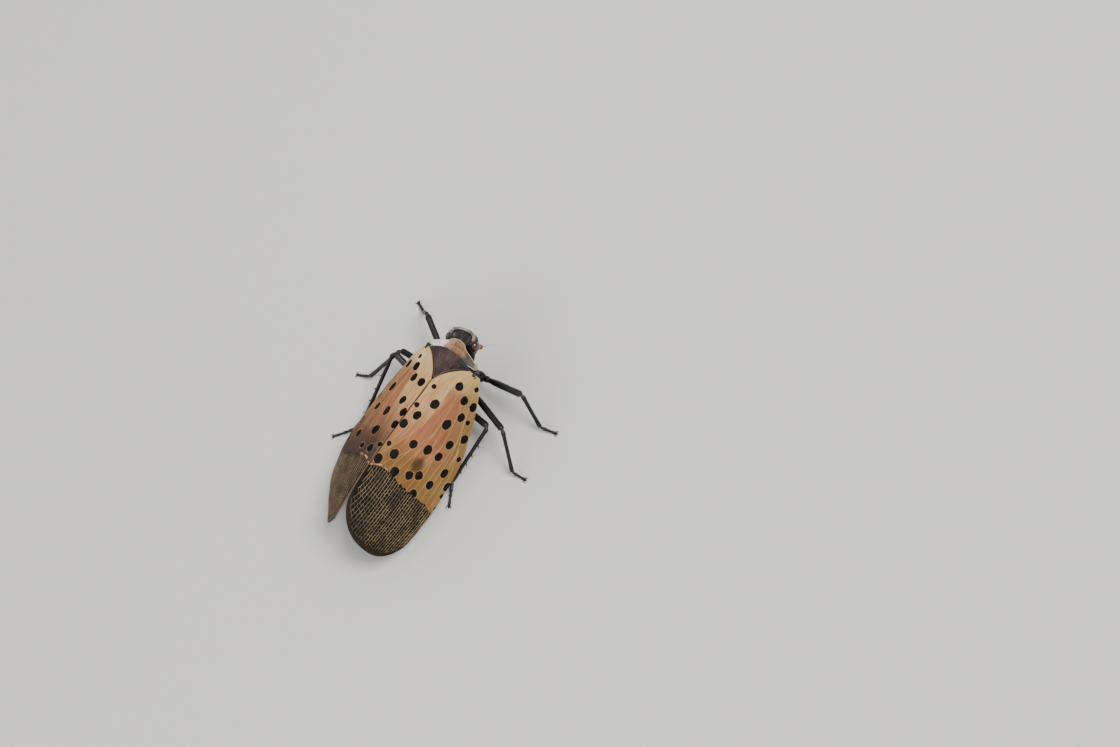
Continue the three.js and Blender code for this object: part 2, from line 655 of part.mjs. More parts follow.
// The last joint's pair of claws, bent down to the floor.
function claws(path) {
  const end = path.getPointAt(1);
  const tangent = path.getTangentAt(1);
  const aside = point(-tangent.y, tangent.x, 0).normalize();
  return [-1, 1].map((side) => {
    const direction = tangent.clone().addScaledVector(aside, side * CLAW.spread).setZ(-CLAW.droop);
    const root = end.clone().addScaledVector(tangent, -CLAW.sunk).addScaledVector(aside, side * CLAW.apart);
    return thorn(root, direction, CLAW.length, CLAW.radius);
  });
}

// The three joints of one leg, parted by thin cuts across the bends.
function leg(name, pose) {
  const side = name.endsWith("left") ? 1 : -1;
  const path = legCurve(side, pose);
  const lengths = path.curves.map((curve) => curve.getLength());
  const knee = lengths[0] + lengths[1] / 2;
  const ankle = lengths[0] + lengths[1] + lengths[2] + lengths[3] / 2;
  const toe = path.getLength();
  const r = LEG_RADIUS;
  const half = GAP / 2;
  const spread = (from, to, parts) => parts.map((share) => lerp(from, to, share));
  const onFloor = (p) => point(p.x, p.y, Math.max(p.z, 0));
  const femurRadius = profile([
    [0, r.coxa], [0.9, r.trochanter], [2.2, r.femur], [knee - 1, r.femur], [knee, r.knee],
  ]);
  const tibiaRadius = profile([[knee, r.knee - 0.03], [knee + 1, r.tibia], [ankle, r.ankle]]);
  const footShape = profile(TARSUS_SHAPE);
  const tarsusRadius = (at) => Math.max(r.tarsus * footShape((at - ankle) / (toe - ankle)), r.waist);
  const tarsusStations = spread(ankle + half, toe, TARSUS_STATIONS);
  const femur = limb(path, spread(0, knee - half, shares(9)), femurRadius, { ridge: LEG_RIDGE });
  const tibia = limb(path, spread(knee + half, ankle - half, shares(9)), tibiaRadius, { ridge: LEG_RIDGE });
  const tarsus = limb(path, tarsusStations, tarsusRadius, { shape: onFloor });
  const spines = name.startsWith("hind") ? tibiaSpines(path, knee + half, ankle - half) : [];
  return { femur, tibia: joined([tibia, ...spines]), tarsus: joined([tarsus, ...claws(path)]) };
}

const lanternfly = new THREE.Group();
lanternfly.position.set(-BOX_CENTRE.x, -BOX_CENTRE.y, 0);

function place(name, geometry, colour, parent = lanternfly) {
  const mesh = new THREE.Mesh(geometry, new THREE.MeshStandardMaterial(colour));
  mesh.name = name;
  parent.add(mesh);
}

// The head is turned a little to the left about the neck.
const headGroup = new THREE.Group();
const neck = point(0, HEAD.neck, 0);
headGroup.rotation.z = HEAD.yaw;
headGroup.position.copy(neck).sub(neck.clone().applyEuler(headGroup.rotation));
headGroup.position.x += HEAD.shift;
lanternfly.add(headGroup);

place("head", head(), CUTICLE, headGroup);
place("pronotum", pronotum(), COLOURS.pronotum);
place("mesonotum", mesonotum(), COLOURS.mesonotum);
place("thorax", thorax(), CUTICLE);
place("abdomen", abdomen(), COLOURS.abdomen);
place("valvifers", valvifers(), COLOURS.valvifers);
place("rostrum", rostrum(), CUTICLE);
for (const [side, word] of [[1, "left"], [-1, "right"]]) {
  place("eye_" + word, eye(side), COLOURS.eye, headGroup);
  place("antenna_" + word, antenna(side), COLOURS.antenna, headGroup);
  place("tegula_" + word, tegula(side), CUTICLE);
  place("forewing_" + word, forewing(side), COLOURS.forewing);
  place("hindwing_" + word, hindwing(side), COLOURS.hindwing);
}
for (const [name, pose] of Object.entries(LEGS)) {
  for (const [joint, geometry] of Object.entries(leg(name, pose))) {
    place(joint + "_" + name, geometry, CUTICLE);
  }
}

export default lanternfly;
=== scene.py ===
# The looks of a spotted lanternfly at rest, life size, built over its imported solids.
import math

import bmesh
import bpy
import numpy as np
from mathutils import Matrix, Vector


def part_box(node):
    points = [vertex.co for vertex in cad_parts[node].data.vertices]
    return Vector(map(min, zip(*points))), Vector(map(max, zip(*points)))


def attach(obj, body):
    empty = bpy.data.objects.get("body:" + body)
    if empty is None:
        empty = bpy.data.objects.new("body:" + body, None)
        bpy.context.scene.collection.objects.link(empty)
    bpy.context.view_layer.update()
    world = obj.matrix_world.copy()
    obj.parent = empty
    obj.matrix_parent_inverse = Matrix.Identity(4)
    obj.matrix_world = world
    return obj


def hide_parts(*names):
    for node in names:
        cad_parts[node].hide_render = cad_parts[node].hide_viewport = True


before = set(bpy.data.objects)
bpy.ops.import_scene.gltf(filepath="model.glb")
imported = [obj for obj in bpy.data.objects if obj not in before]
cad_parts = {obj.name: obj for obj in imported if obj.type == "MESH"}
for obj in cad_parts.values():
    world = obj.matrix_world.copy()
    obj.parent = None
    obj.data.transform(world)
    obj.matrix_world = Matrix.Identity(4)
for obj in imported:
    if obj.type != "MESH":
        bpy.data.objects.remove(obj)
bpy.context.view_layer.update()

# Camera: it looks down on the animal's right side from a little behind, with the frame turned so
# that the tail points to the lower left. The animal's own stations are in millimetres from the
# middle of its collar at floor level: x to its left, y towards its tail, z up.
MM = 0.001
COLLAR_FRONT = -1.27
collar_low, collar_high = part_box("pronotum")
ORIGIN = np.array([(collar_low.x + collar_high.x) / 2, collar_low.y - COLLAR_FRONT * MM, 0.0])
PHOTO_SIZE = (1120, 747)
PHOTO_ANCHOR = (455, 352)
ANCHOR = np.array([0.0, 0.0, 6.5])
VIEW_FROM_SIDE = math.radians(24)
VIEW_FROM_BEHIND = math.radians(10)
VIEW_ROLL = math.radians(34.95)
VIEW_DISTANCE = 327.5
LENS = 100
SENSOR = 36


def placed(points):
    return np.asarray(points, float) * MM + ORIGIN


def unit(vector):
    return vector / np.linalg.norm(vector)


def stance(right, up, back, place):
    """The matrix of an object that stands at a place with its three axes along given directions."""
    matrix = np.eye(4)
    matrix[:3] = np.stack([right, up, back, place], axis=1)
    return Matrix(matrix)


view_back = unit(np.array([-math.tan(VIEW_FROM_SIDE), math.tan(VIEW_FROM_BEHIND), 1.0]))
view_level = unit(np.array([0.0, -1.0, 0.0]) + view_back * view_back[1])
view_across = np.cross(view_level, view_back)
view_right = view_across * math.cos(VIEW_ROLL) + view_level * math.sin(VIEW_ROLL)
view_up = view_level * math.cos(VIEW_ROLL) - view_across * math.sin(VIEW_ROLL)
pixels = LENS / SENSOR * PHOTO_SIZE[0]
ray = -view_back
ray = ray + view_right * (PHOTO_ANCHOR[0] - PHOTO_SIZE[0] / 2) / pixels
ray = ray - view_up * (PHOTO_ANCHOR[1] - PHOTO_SIZE[1] / 2) / pixels
eye_point = placed(ANCHOR - ray * VIEW_DISTANCE)

lens = bpy.data.cameras.new("camera")
lens.lens = LENS
lens.sensor_width = SENSOR
lens.clip_start = 0.01
lens.clip_end = 20
camera = bpy.data.objects.new("camera", lens)
camera.matrix_world = stance(view_right, view_up, view_back, eye_point)
bpy.context.scene.collection.objects.link(camera)
bpy.context.scene.camera = camera


# Floor and light: a plain pale floor, a large soft light over the head's right side, a weaker one
# from the left and one from behind.
def operator(operation, swapped=False):
    """A method that puts a Math node between a wire and another value, which comes first if swapped."""

    def applied(wire, other):
        return wire.math(operation, other, wire) if swapped else wire.math(operation, wire, other)

    return applied


class Wire:
    """A value in a material. Python's operators on it add Math nodes."""

    def __init__(self, paint, socket):
        self.paint = paint
        self.socket = socket

    def math(self, operation, *values):
        return self.paint.node("ShaderNodeMath", {"operation": operation}, dict(enumerate(values)))

    __add__ = operator("ADD")
    __radd__ = operator("ADD", swapped=True)
    __sub__ = operator("SUBTRACT")
    __rsub__ = operator("SUBTRACT", swapped=True)
    __mul__ = operator("MULTIPLY")
    __rmul__ = operator("MULTIPLY", swapped=True)

    def whole(self):
        return self.math("FLOOR", self)

    def size(self):
        return self.math("ABSOLUTE", self)

    def ramp(self, low, high):
        """0 below low, 1 above high and smooth between them."""
        settings = {"interpolation_type": "SMOOTHSTEP"}
        return self.paint.node("ShaderNodeMapRange", settings, {0: self, 1: low, 2: high})


class Paint:
    """A material on its own node tree."""

    def __init__(self, name, roughness=0.5, **sockets):
        self.material = bpy.data.materials.new(name)
        self.material.use_nodes = True
        self.tree = self.material.node_tree
        self.shader = self.tree.nodes["Principled BSDF"]
        self.put(self.shader.inputs["Roughness"], roughness)
        for socket, value in sockets.items():
            self.put(self.shader.inputs[socket.replace("_", " ")], value)

    def put(self, socket, value):
        if isinstance(value, Wire):
            self.tree.links.new(value.socket, socket)
        else:
            socket.default_value = value

    def node(self, kind, settings=None, inputs=None, output=0):
        node = self.tree.nodes.new(kind)
        for key, value in (settings or {}).items():
            setattr(node, key, value)
        for key, value in (inputs or {}).items():
            self.put(node.inputs[key], value)
        return Wire(self, node.outputs[output])

    def place(self):
        return self.node("ShaderNodeTexCoord", output=3)

    def attribute(self, name):
        return self.node("ShaderNodeAttribute", {"attribute_name": name}, output=2)

    def stretched(self, place, scale):
        return self.node("ShaderNodeMapping", inputs={"Vector": place, "Scale": scale})

    def noise(self, place, scale, detail=3.0, roughness=0.55):
        inputs = {"Vector": place, "Scale": scale, "Detail": detail, "Roughness": roughness}
        return self.node("ShaderNodeTexNoise", inputs=inputs)

    def mix(self, factor, first, second):
        settings = {"data_type": "RGBA", "clamp_factor": True}
        return self.node("ShaderNodeMix", settings, {0: factor, 6: first, 7: second}, output=2)

    def layered(self, colour, *layers):
        """A colour with others laid over it in turn, each given as its share and itself."""
        for share, tone in layers:
            colour = self.mix(share, colour, tone)
        return colour

    def cells(self, place, scale):
        return self.node("ShaderNodeTexVoronoi", {}, {"Vector": place, "Scale": scale})

    def bump(self, height, distance, strength):
        inputs = {"Height": height, "Distance": distance, "Strength": strength}
        return self.node("ShaderNodeBump", inputs=inputs)

    def finish(self, colour=None, roughness=None, normal=None, coat=None):
        given = {"Base Color": colour, "Roughness": roughness, "Normal": normal, "Coat Weight": coat}
        for socket, value in given.items():
            if value is not None:
                self.put(self.shader.inputs[socket], value)
        return self.material


def pigment(red, green, blue):
    """A colour as seen, from 0 to 255, as the shader takes it: sRGB turned into linear light."""
    seen = np.array([red, green, blue]) / 255
    linear = np.where(seen <= 0.04045, seen / 12.92, ((seen + 0.055) / 1.055) ** 2.4)
    return (*linear.tolist(), 1.0)


FLOOR_HALF = 2.0
FLOOR_HEIGHT = -0.00001
floor_paint = Paint("floor", roughness=0.85)
floor_tone = floor_paint.noise(floor_paint.place(), 6.0)
floor_colour = floor_paint.mix(floor_tone, pigment(214, 212, 206), pigment(222, 220, 214))
floor_mesh = bpy.data.meshes.new("floor")
quarters = [(-1, -1), (1, -1), (1, 1), (-1, 1)]
floor_corners = [(x * FLOOR_HALF, y * FLOOR_HALF, FLOOR_HEIGHT) for x, y in quarters]
floor_mesh.from_pydata(floor_corners, [], [(0, 1, 2, 3)])
floor_mesh.materials.append(floor_paint.finish(floor_colour))
floor = bpy.data.objects.new("floor", floor_mesh)
bpy.context.scene.collection.objects.link(floor)

world = bpy.data.worlds.new("studio")
world.use_nodes = True
sky = world.node_tree.nodes["Background"].inputs
sky["Color"].default_value = pigment(232, 236, 240)
sky["Strength"].default_value = 0.4
bpy.context.scene.world = world

LAMPS = {
    "key": {"at": (-0.32, -0.22, 0.62), "size": 0.34, "watts": 5.4},
    "fill": {"at": (0.55, 0.1, 0.5), "size": 0.7, "watts": 1.8},
    "back": {"at": (0.05, 0.6, 0.42), "size": 0.5, "watts": 2.2},
}
for name, lamp in LAMPS.items():
    light = bpy.data.lights.new(name, "AREA")
    light.size = lamp["size"]
    light.energy = lamp["watts"]
    holder = bpy.data.objects.new(name, light)
    away = unit(np.array(lamp["at"]))
    level = unit(np.cross([0.0, 0.0, 1.0], away))
    holder.matrix_world = stance(level, np.cross(away, level), away, lamp["at"])
    bpy.context.scene.collection.objects.link(holder)


# Forewings: two leathery plates that meet over the back like a roof, hinged at their front under
# the edge of the collar. Each is stiffened by raised veins that fork towards the tip.
SIDES = ((-1, "right"), (1, "left"))
WING_FRONT = 0.95
WING_THICKNESS = 0.16
VEIN_RISE = {"long": 0.085, "costa": 0.07, "quilt": 0.03}
VEIN_SPREAD = {"long": 0.085, "costa": 0.16}
SMUDGE = {"place": (12.1, 4.3), "spread": (1.1, 0.8)}
FAR = 9.0
ROOF_SAG = 0.1
ROOF_FRONT_WIDTH = [(0.9, 3.75), (2, 4.35), (5, 5.3), (9.2, 6.25), (13.3, 6.5)]
ROOF_FRONT_HEIGHT = [(0.9, 5.75), (2, 5.25), (4.2, 4.3), (6.4, 3.5), (9.2, 2.4), (13.3, 1.65)]
LANES = 30
SPOT_SIZE = {"large": (0.58, 0.45), "full": (0.5, 0.42), "small": (0.3, 0.26)}
# The black spots of each wing: how far back and how far across from the ridge each one lies.
SPOTS = {
    -1: {
        "large": [(6.9, 4.2), (5.9, 1.9), (12.6, 1.6), (10.2, 4.2), (14.1, 2.7), (13.95, 0.5)],
        "full": [
            (2.9, 2.9), (3.8, 4.2), (3.8, 5.4), (7.9, 1.1), (9.4, 0.5), (5.4, 5.0), (10.6, 2.6),
            (10.1, 5.6), (8.4, 5.8), (7.0, 6.8), (13.5, 4.2), (12.9, 5.1), (13.0, 6.7), (11.1, 7.3),
            (12.0, 8.6), (14.8, 5.7),
        ],
        "small": [
            (4.4, 0.7), (2.1, 4.6), (7.0, 0.4), (5.4, 6.0), (12.0, 0.5), (9.0, 7.7), (13.1, 8.8), (14.6, 9.0),
        ],
    },
    1: {
        "large": [(6.4, 4.7), (9.1, 2.7), (11.4, 2.3)],
        "full": [
            (3.4, 2.9), (4.6, 2.2), (4.7, 0.8), (3.4, 4.8), (7.3, 1.5), (8.4, 0.4), (10.0, 0.3), (12.5, 5.1),
            (13.4, 1.2), (9.0, 5.2), (10.9, 6.9), (7.6, 6.9), (13.1, 7.6),
        ],
        "small": [(2.3, 3.4), (13.5, 2.7), (12.6, 0.3), (5.4, 5.9), (12.4, 8.4)],
    },
}


def profile(pairs):
    """A smooth curve through a few (station, value) pairs, level beyond the first and the last."""
    stations, values = np.array(pairs, float).T
    before = np.r_[0, 0 : len(values) - 1]
    after = np.r_[1 : len(values), len(values) - 1]
    slopes = (values[after] - values[before]) / (stations[after] - stations[before])

    def at(where):
        where = np.clip(where, stations[0], stations[-1])
        i = np.clip(np.searchsorted(stations, where, side="right") - 1, 0, len(stations) - 2)
        span = stations[i + 1] - stations[i]
        t = (where - stations[i]) / span
        rise = (2 * t - 3) * t * t
        bend = span * t * (1 - t) * ((1 - t) * slopes[i] - t * slopes[i + 1])
        return (1 + rise) * values[i] - rise * values[i + 1] + bend

    return at


def smoothstep(low, high, value):
    """0 at low, 1 at high and smooth between them, whichever of the two is larger."""
    t = np.clip((value - low) / (high - low), 0, 1)
    return t * t * (3 - 2 * t)


def bell(distance, spread):
    """1 at no distance, falling smoothly to nearly 0 at twice the spread."""
    return np.exp(-((distance / spread) ** 2))


def grid(first, second):
    """Two grids of values, the first changing from row to row and the second along each row."""
    return np.meshgrid(first, second, indexing="ij")


def round_turn(count):
    return np.linspace(0, 2 * math.pi, count, endpoint=False)


def on_both(values):
    """Values of a shell's outer grid, given to its inner one too."""
    return {key: np.tile(value.ravel(), 2) for key, value in values.items()}


RIDGE_HEIGHT = profile([(-1, 7.2), (1, 7.35), (14, 7.35), (18, 7.0), (22.5, 6.2)])
ROOF = {
    -1: {
        "width": profile([*ROOF_FRONT_WIDTH, (17.3, 6.45), (22.5, 6.0)]),
        "edge": profile([*ROOF_FRONT_HEIGHT, (17.3, 1.6), (22.5, 1.9)]),
        "apex": {"reach": 22.54, "inner": 18.3, "outer": 19.0, "lean": 0.6},
    },
    1: {
        "width": profile([*ROOF_FRONT_WIDTH, (15.4, 6.2), (17.7, 5.6), (20, 4.2), (22.5, 2.0)]),
        "edge": profile([*ROOF_FRONT_HEIGHT, (15.4, 1.4), (17.7, 1.15), (22.5, 0.85)]),
        "apex": {"reach": 22.15, "inner": 21.3, "outer": 18.7, "lean": 0.4},
    },
}
TAIL_SWAY = profile([(4, 0), (13, 0.3)])
INNER_EDGE = profile([(0.95, 2.75), (1.3, 2.25), (1.75, 1.7), (2.4, 1.05), (3.1, 0.5), (3.9, 0.06)])
CLAVAL_SUTURE = profile([(0, 0.42), (0.3, 0.3), (0.6, 0.07), (0.72, 0.03)])
NET_BORDER = profile(
    [(0, 14.9), (1.3, 14.3), (2.5, 14.5), (3.8, 14.8), (5.2, 15.0), (6.6, 14.9), (8.3, 15.1), (9.2, 15.4)]
)


def roof_bend(side, y):
    wing = ROOF[side]
    ridge, edge, width = RIDGE_HEIGHT(y), wing["edge"](y), wing["width"](y)
    drop = ridge - edge
    return ridge, edge, width, width / 2 + 2 * ROOF_SAG * drop, (ridge + edge) / 2 + 2 * ROOF_SAG * width


def roof(side, y, across, depth=0.0):
    """A point of the wings' roof: across is 0 on the ridge and 1 on the lower edge."""
    ridge, edge, width, bend_x, bend_z = roof_bend(side, y)
    back = 1 - across
    x = 2 * across * back * bend_x + across**2 * width
    z = back**2 * ridge + 2 * across * back * bend_z + across**2 * edge
    slope_x = back * bend_x + across * (width - bend_x)
    slope_z = back * (bend_z - ridge) + across * (edge - bend_z)
    length = np.hypot(slope_x, slope_z)
    slope_x, slope_z = slope_x / length, slope_z / length
    lean = smoothstep(0.15, 1.2, x)
    inward = -depth * slope_z * lean
    down = depth * (lean * slope_x + (1 - lean) / slope_x)
    return np.stack(np.broadcast_arrays(side * (x - inward) + TAIL_SWAY(y), y, z - down), axis=-1)


def across_at(side, y, distance):
    """The share across the roof at which its top lies a given distance from the middle."""
    _, _, width, bend_x, _ = roof_bend(side, y)
    square, line = width - 2 * bend_x, 2 * bend_x
    root = np.sqrt(np.maximum(line**2 + 4 * square * distance, 0))
    return 2 * distance / (line + root)


def rounded_end(apex, share):
    inner = share < apex["lean"]
    shoulder = np.where(inner, apex["inner"], apex["outer"])
    away = np.where(inner, 1 - share / apex["lean"], (share - apex["lean"]) / (1 - apex["lean"]))
    return shoulder + (apex["reach"] - shoulder) * np.sqrt(np.maximum(0, 1 - away**2.3))


def wing_point(side, along, share, depth=0.0):
    """A point of a forewing, with its place across the roof."""
    y = WING_FRONT + (rounded_end(ROOF[side]["apex"], share) - WING_FRONT) * along
    start = across_at(side, y, INNER_EDGE(y))
    across = start + (1 - start) * share
    return roof(side, y, across, depth), across


def girth(side, y, across, steps=24):
    """How far from the ridge a point of the roof lies, measured over its curve."""
    shares = np.linspace(0, 1, steps)
    line = roof(side, np.asarray(y)[..., None], np.asarray(across)[..., None] * shares)
    return np.linalg.norm(np.diff(line, axis=-2), axis=-1).sum(axis=-1)


CREASE = 40

# Each vein: where it lies between the claval suture and the front edge, the vein that it forks
# from, and the share of the wing's length at which it does.
LONG_VEINS = [
    (0.27, 0.27, -0.4), (0.52, 0.52, -0.4), (0.76, 0.76, -0.4), (0.18, 0.27, 0.3), (0.09, 0.18, 0.46),
    (0.36, 0.27, 0.42), (0.44, 0.52, 0.34), (0.6, 0.52, 0.4), (0.68, 0.76, 0.28), (0.85, 0.76, 0.2),
    (0.93, 0.85, 0.33),
]


def vein_lines(along):
    """Each vein's share across the wing and its strength, at a share along it."""
    suture = CLAVAL_SUTURE(along)
    lines = [(suture / 2, 1 - smoothstep(0.5, 0.62, along)), (suture, 1 - smoothstep(0.6, 0.7, along))]
    for own, parent, fork in LONG_VEINS:
        place = parent + (own - parent) * smoothstep(fork, fork + 0.2, along)
        lines.append((suture + (1 - suture) * place, smoothstep(fork, fork + 0.03, along)))
    return lines


def shell(outer, inner):
    """The points and faces of a closed shell between two grids of the same size."""
    rows, columns = outer.shape[:2]
    index = np.arange(2 * rows * columns).reshape(2, rows, columns)

    def quads(block):
        corners = [block[:-1, :-1], block[1:, :-1], block[1:, 1:], block[:-1, 1:]]
        return np.stack(corners, -1).reshape(-1, 4)

    first = index[0]
    loop = np.concatenate([first[0, :], first[1:, -1], first[-1, -2::-1], first[-2:0:-1, 0]])
    ahead = np.roll(loop, -1)
    rim = np.stack([loop, ahead, ahead + rows * columns, loop + rows * columns], -1)
    faces = np.concatenate([quads(first), quads(index[1])[:, ::-1], rim])
    return np.concatenate([outer.reshape(-1, 3), inner.reshape(-1, 3)]), faces.tolist()


def loft(rings):
    """The points and faces of a closed body through rings of as many points each."""
    count, sides = rings.shape[:2]
    index = np.arange(count * sides).reshape(count, sides)
    ahead = np.roll(index, -1, axis=1)
    faces = np.stack([index[:-1], ahead[:-1], ahead[1:], index[1:]], -1).reshape(-1, 4).tolist()
    centres = [rings[0].mean(axis=0), rings[-1].mean(axis=0)]
    faces += [(int(b), int(a), count * sides) for a, b in zip(index[0], ahead[0])]
    faces += [(int(a), int(b), count * sides + 1) for a, b in zip(index[-1], ahead[-1])]
    return np.concatenate([rings.reshape(-1, 3), centres]), faces


def piece(name, points, faces, material, replaces=(), attributes=None, uv=None, chart="surface"):
    """A finished mesh on the body, with its place in its vertices and its faces turned outwards."""
    mesh = bpy.data.meshes.new(name)
    mesh.from_pydata(placed(points).tolist(), [], faces)
    for key, values in (attributes or {}).items():
        layer = mesh.attributes.new(key, "FLOAT", "POINT")
        layer.data.foreach_set("value", np.asarray(values, np.float32).ravel())
    if uv is not None:
        corners = np.empty(len(mesh.loops), np.int32)
        mesh.loops.foreach_get("vertex_index", corners)
        spread = np.asarray(uv, np.float32)[corners].ravel()
        mesh.uv_layers.new(name=chart).data.foreach_set("uv", spread)
    bm = bmesh.new()
    bm.from_mesh(mesh)
    bmesh.ops.recalc_face_normals(bm, faces=bm.faces)
    bm.to_mesh(mesh)
    bm.free()
    mesh.materials.append(material)
    mesh.polygons.foreach_set("use_smooth", np.ones(len(mesh.polygons), bool))
    mesh.set_sharp_from_angle(angle=math.radians(CREASE))
    made = bpy.data.objects.new(name, mesh)
    bpy.context.scene.collection.objects.link(made)
    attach(made, "root")
    if replaces:
        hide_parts(*replaces)


def wing_paint(name, tones):
    paint = Paint(name, Specular_IOR_Level=0.14)
    flat = paint.node("ShaderNodeUVMap", {"uv_map": "surface"})
    back = paint.node("ShaderNodeSeparateXYZ", {}, {0: flat})
    spot, net, vein, rim = (paint.attribute(key) for key in ("spot", "net", "vein", "rim"))
    across, clavus, smudge = (paint.attribute(key) for key in ("across", "clavus", "smudge"))
    streak = paint.noise(paint.stretched(flat, (0.3, 3.0, 1)), 1.0, 4.0)
    cloud = paint.noise(flat, 0.42, 2.0)
    fine = paint.noise(flat, 11.0, 2.0)
    wander = 2.4 * (cloud - 0.5)
    middle = (back + wander).ramp(2.0, 4.6) * (1 - (back + wander).ramp(9.4, 13.2))
    front_strip = (across + 0.3 * (streak - 0.5)).ramp(0.5, 0.8) * back.ramp(0.0, 5.0)
    inner_strip = clavus * (1 - streak.ramp(0.35, 0.7) * 0.6) * (1 - 0.75 * back.ramp(6.0, 9.5))
    tail = (net + wander).ramp(tones["tail_from"], 0.3)
    ragged = spot + 0.16 * (paint.noise(flat, 2.2, 1.0) - 0.5)
    lane = paint.attribute("lane").whole()
    step = paint.node("ShaderNodeTexWhiteNoise", {"noise_dimensions": "1D"}, {"W": lane})
    netted = (net + 0.3 * (step - 0.5)).ramp(-0.03, 0.04)
    cells = paint.mix((cloud + 0.6 * (streak - 0.5)).ramp(0.3, 0.75), tones["cell"], tones["cell_warm"])
    arc = netted * (1 - net.ramp(0.06, 0.14)) * (1 - across.ramp(0.16, 0.26))
    # painted light along each wing's inner edge behind its front part: painted shadow where the two wings
    # meet, a painted highlight on the left wing's edge
    seam_shade_and_highlight = (1 - paint.attribute("seam_shade_and_highlight").ramp(0.03, 0.08)) * back.ramp(3.5, 5.5)
    colour = paint.layered(
        paint.mix((back + wander).ramp(7.5, 11.5), tones["root"], tones["tan"]),
        (front_strip * 0.85, tones["costa"]),
        (middle * (1 - across.ramp(0.62, 0.9)), tones["pink"]),
        (streak.ramp(0.5, 0.72) * middle * 0.8, tones["flush"]),
        # painted shade: the pink middle darkens towards the wing's lower edge, where the roof slopes away
        # from the light
        (across.ramp(0.3, 0.7) * middle * 0.4, tones["mottle_and_shade"]),
        ((1 - streak.ramp(0.28, 0.46)) * 0.45, tones["cream"]),
        (inner_strip, tones["cream"]),
        ((1 - vein.ramp(0.015, 0.08)) * 0.55, tones["vein"]),
        (fine.ramp(0.3, 0.8) * 0.3, tones["mottle_and_shade"]),
        (tail * tones["tail"], tones["dusk"]),
        ((smudge + 0.5 * (cloud - 0.5)).ramp(0.2, 0.9) * 0.8, tones["smudge"]),
        (netted, paint.mix(1 - rim.ramp(0.2, 0.7), cells, tones["margin"])),
        (arc * 0.9, tones["vein"]),
        (seam_shade_and_highlight * 0.85, tones["seam_shade_and_highlight"]),
        ((1 - ragged.ramp(0.0, 0.16)) * (1 - netted) * 0.25, tones["vein"]),
        (1 - ragged.ramp(-0.02, 0.025), tones["spot"]),
    )
    relief = paint.noise(paint.stretched(flat, (2.0, 9.0, 1)), 1.0, 3.0) + 0.5 * fine
    normal = paint.bump(relief, 0.00003, 0.5)
    return paint.finish(colour, 0.56 + 0.12 * fine, normal)


WING_TONES = {
    "root": pigment(188, 158, 100),
    "cream": pigment(206, 168, 112),
    "pink": pigment(162, 100, 70),
    "flush": pigment(146, 70, 50),
    "tan": pigment(128, 88, 42),
    "costa": pigment(136, 106, 56),
    "vein": pigment(196, 154, 102),
    # one dark tone, for a fine random mottle and for painted shade towards the lower edge
    "mottle_and_shade": pigment(112, 82, 48),
    "dusk": pigment(116, 80, 40),
    "tail": 0.45,
    "tail_from": -3.0,
    "smudge": pigment(52, 44, 24),
    "cell": pigment(12, 8, 5),
    "cell_warm": pigment(22, 16, 10),
    "margin": pigment(38, 31, 22),
    # painted shadow in the crease where the right wing meets the left
    "seam_shade_and_highlight": pigment(44, 18, 16),
    "spot": pigment(10, 5, 4),
}
# The left wing takes the right wing's tones with some changed, partly for light: painted light at its root,
# painted shade over its rear and a painted highlight on its inner edge.
LEFT_TONES = {
    **WING_TONES,
    # painted light: the root is lighter than the right wing's
    "root": pigment(232, 210, 158),
    "pink": pigment(168, 110, 76),
    "costa": pigment(156, 108, 64),
    "tan": pigment(128, 88, 56),
    # partly painted shade: the rear of the left wing darkens far more than the right's, with the hindwing's
    # purple showing through
    "dusk": pigment(58, 46, 43),
    "tail": 0.95,
    "tail_from": -8.0,
    "cell": pigment(40, 31, 23),
    "cell_warm": pigment(66, 52, 36),
    "margin": pigment(74, 64, 52),
    # painted highlight along the left wing's inner edge
    "seam_shade_and_highlight": pigment(150, 122, 98),
}
wing_paints = {
    -1: wing_paint("forewing_right", WING_TONES),
    1: wing_paint("forewing_left", LEFT_TONES),
}


def lane_edges(side, at=18.0):
    """The shares across a forewing that part it into lanes of one width at a station near its tip."""
    share = np.linspace(0, 1, 200)
    start = across_at(side, at, INNER_EDGE(at))
    out = girth(side, np.full(200, at), start + (1 - start) * share)
    return np.interp(np.linspace(out[0], out[-1], LANES + 1), out, share)


def wing_relief(side, along, share, across, y, out):
    """How far the outer face rises at a point of a forewing, and how far its next vein is."""
    width = girth(side, y, 1.0) - girth(side, y, across_at(side, y, INNER_EDGE(y)))
    vein = np.full(along.shape, FAR)
    rise = np.zeros(along.shape)
    for place, strength in vein_lines(along):
        distance = np.abs(share - place) * width
        vein = np.minimum(vein, distance + FAR * (strength < 0.5))
        rise = np.maximum(rise, strength * bell(distance, VEIN_SPREAD["long"]))
    fade = smoothstep(0, 0.06, along) * (1 - 0.75 * smoothstep(0.62, 0.72, along))
    waves = np.sin(out * 3.1 + 0.7 * y) * np.sin(y * 1.3 + out)
    quilt = VEIN_RISE["quilt"] * waves * smoothstep(0.05, 0.2, along)
    costa = VEIN_RISE["costa"] * bell((1 - share) * width, VEIN_SPREAD["costa"])
    return VEIN_RISE["long"] * rise * fade + quilt + costa, vein, width


def wing_surface(side, along, share, lift=0.0):
    """Points on the outer face of a forewing, or at a height over it."""
    ground, across = wing_point(side, along, share)
    y = ground[..., 1]
    height, _, _ = wing_relief(side, along, share, across, y, girth(side, y, across))
    return wing_point(side, along, share, -height - lift)[0]


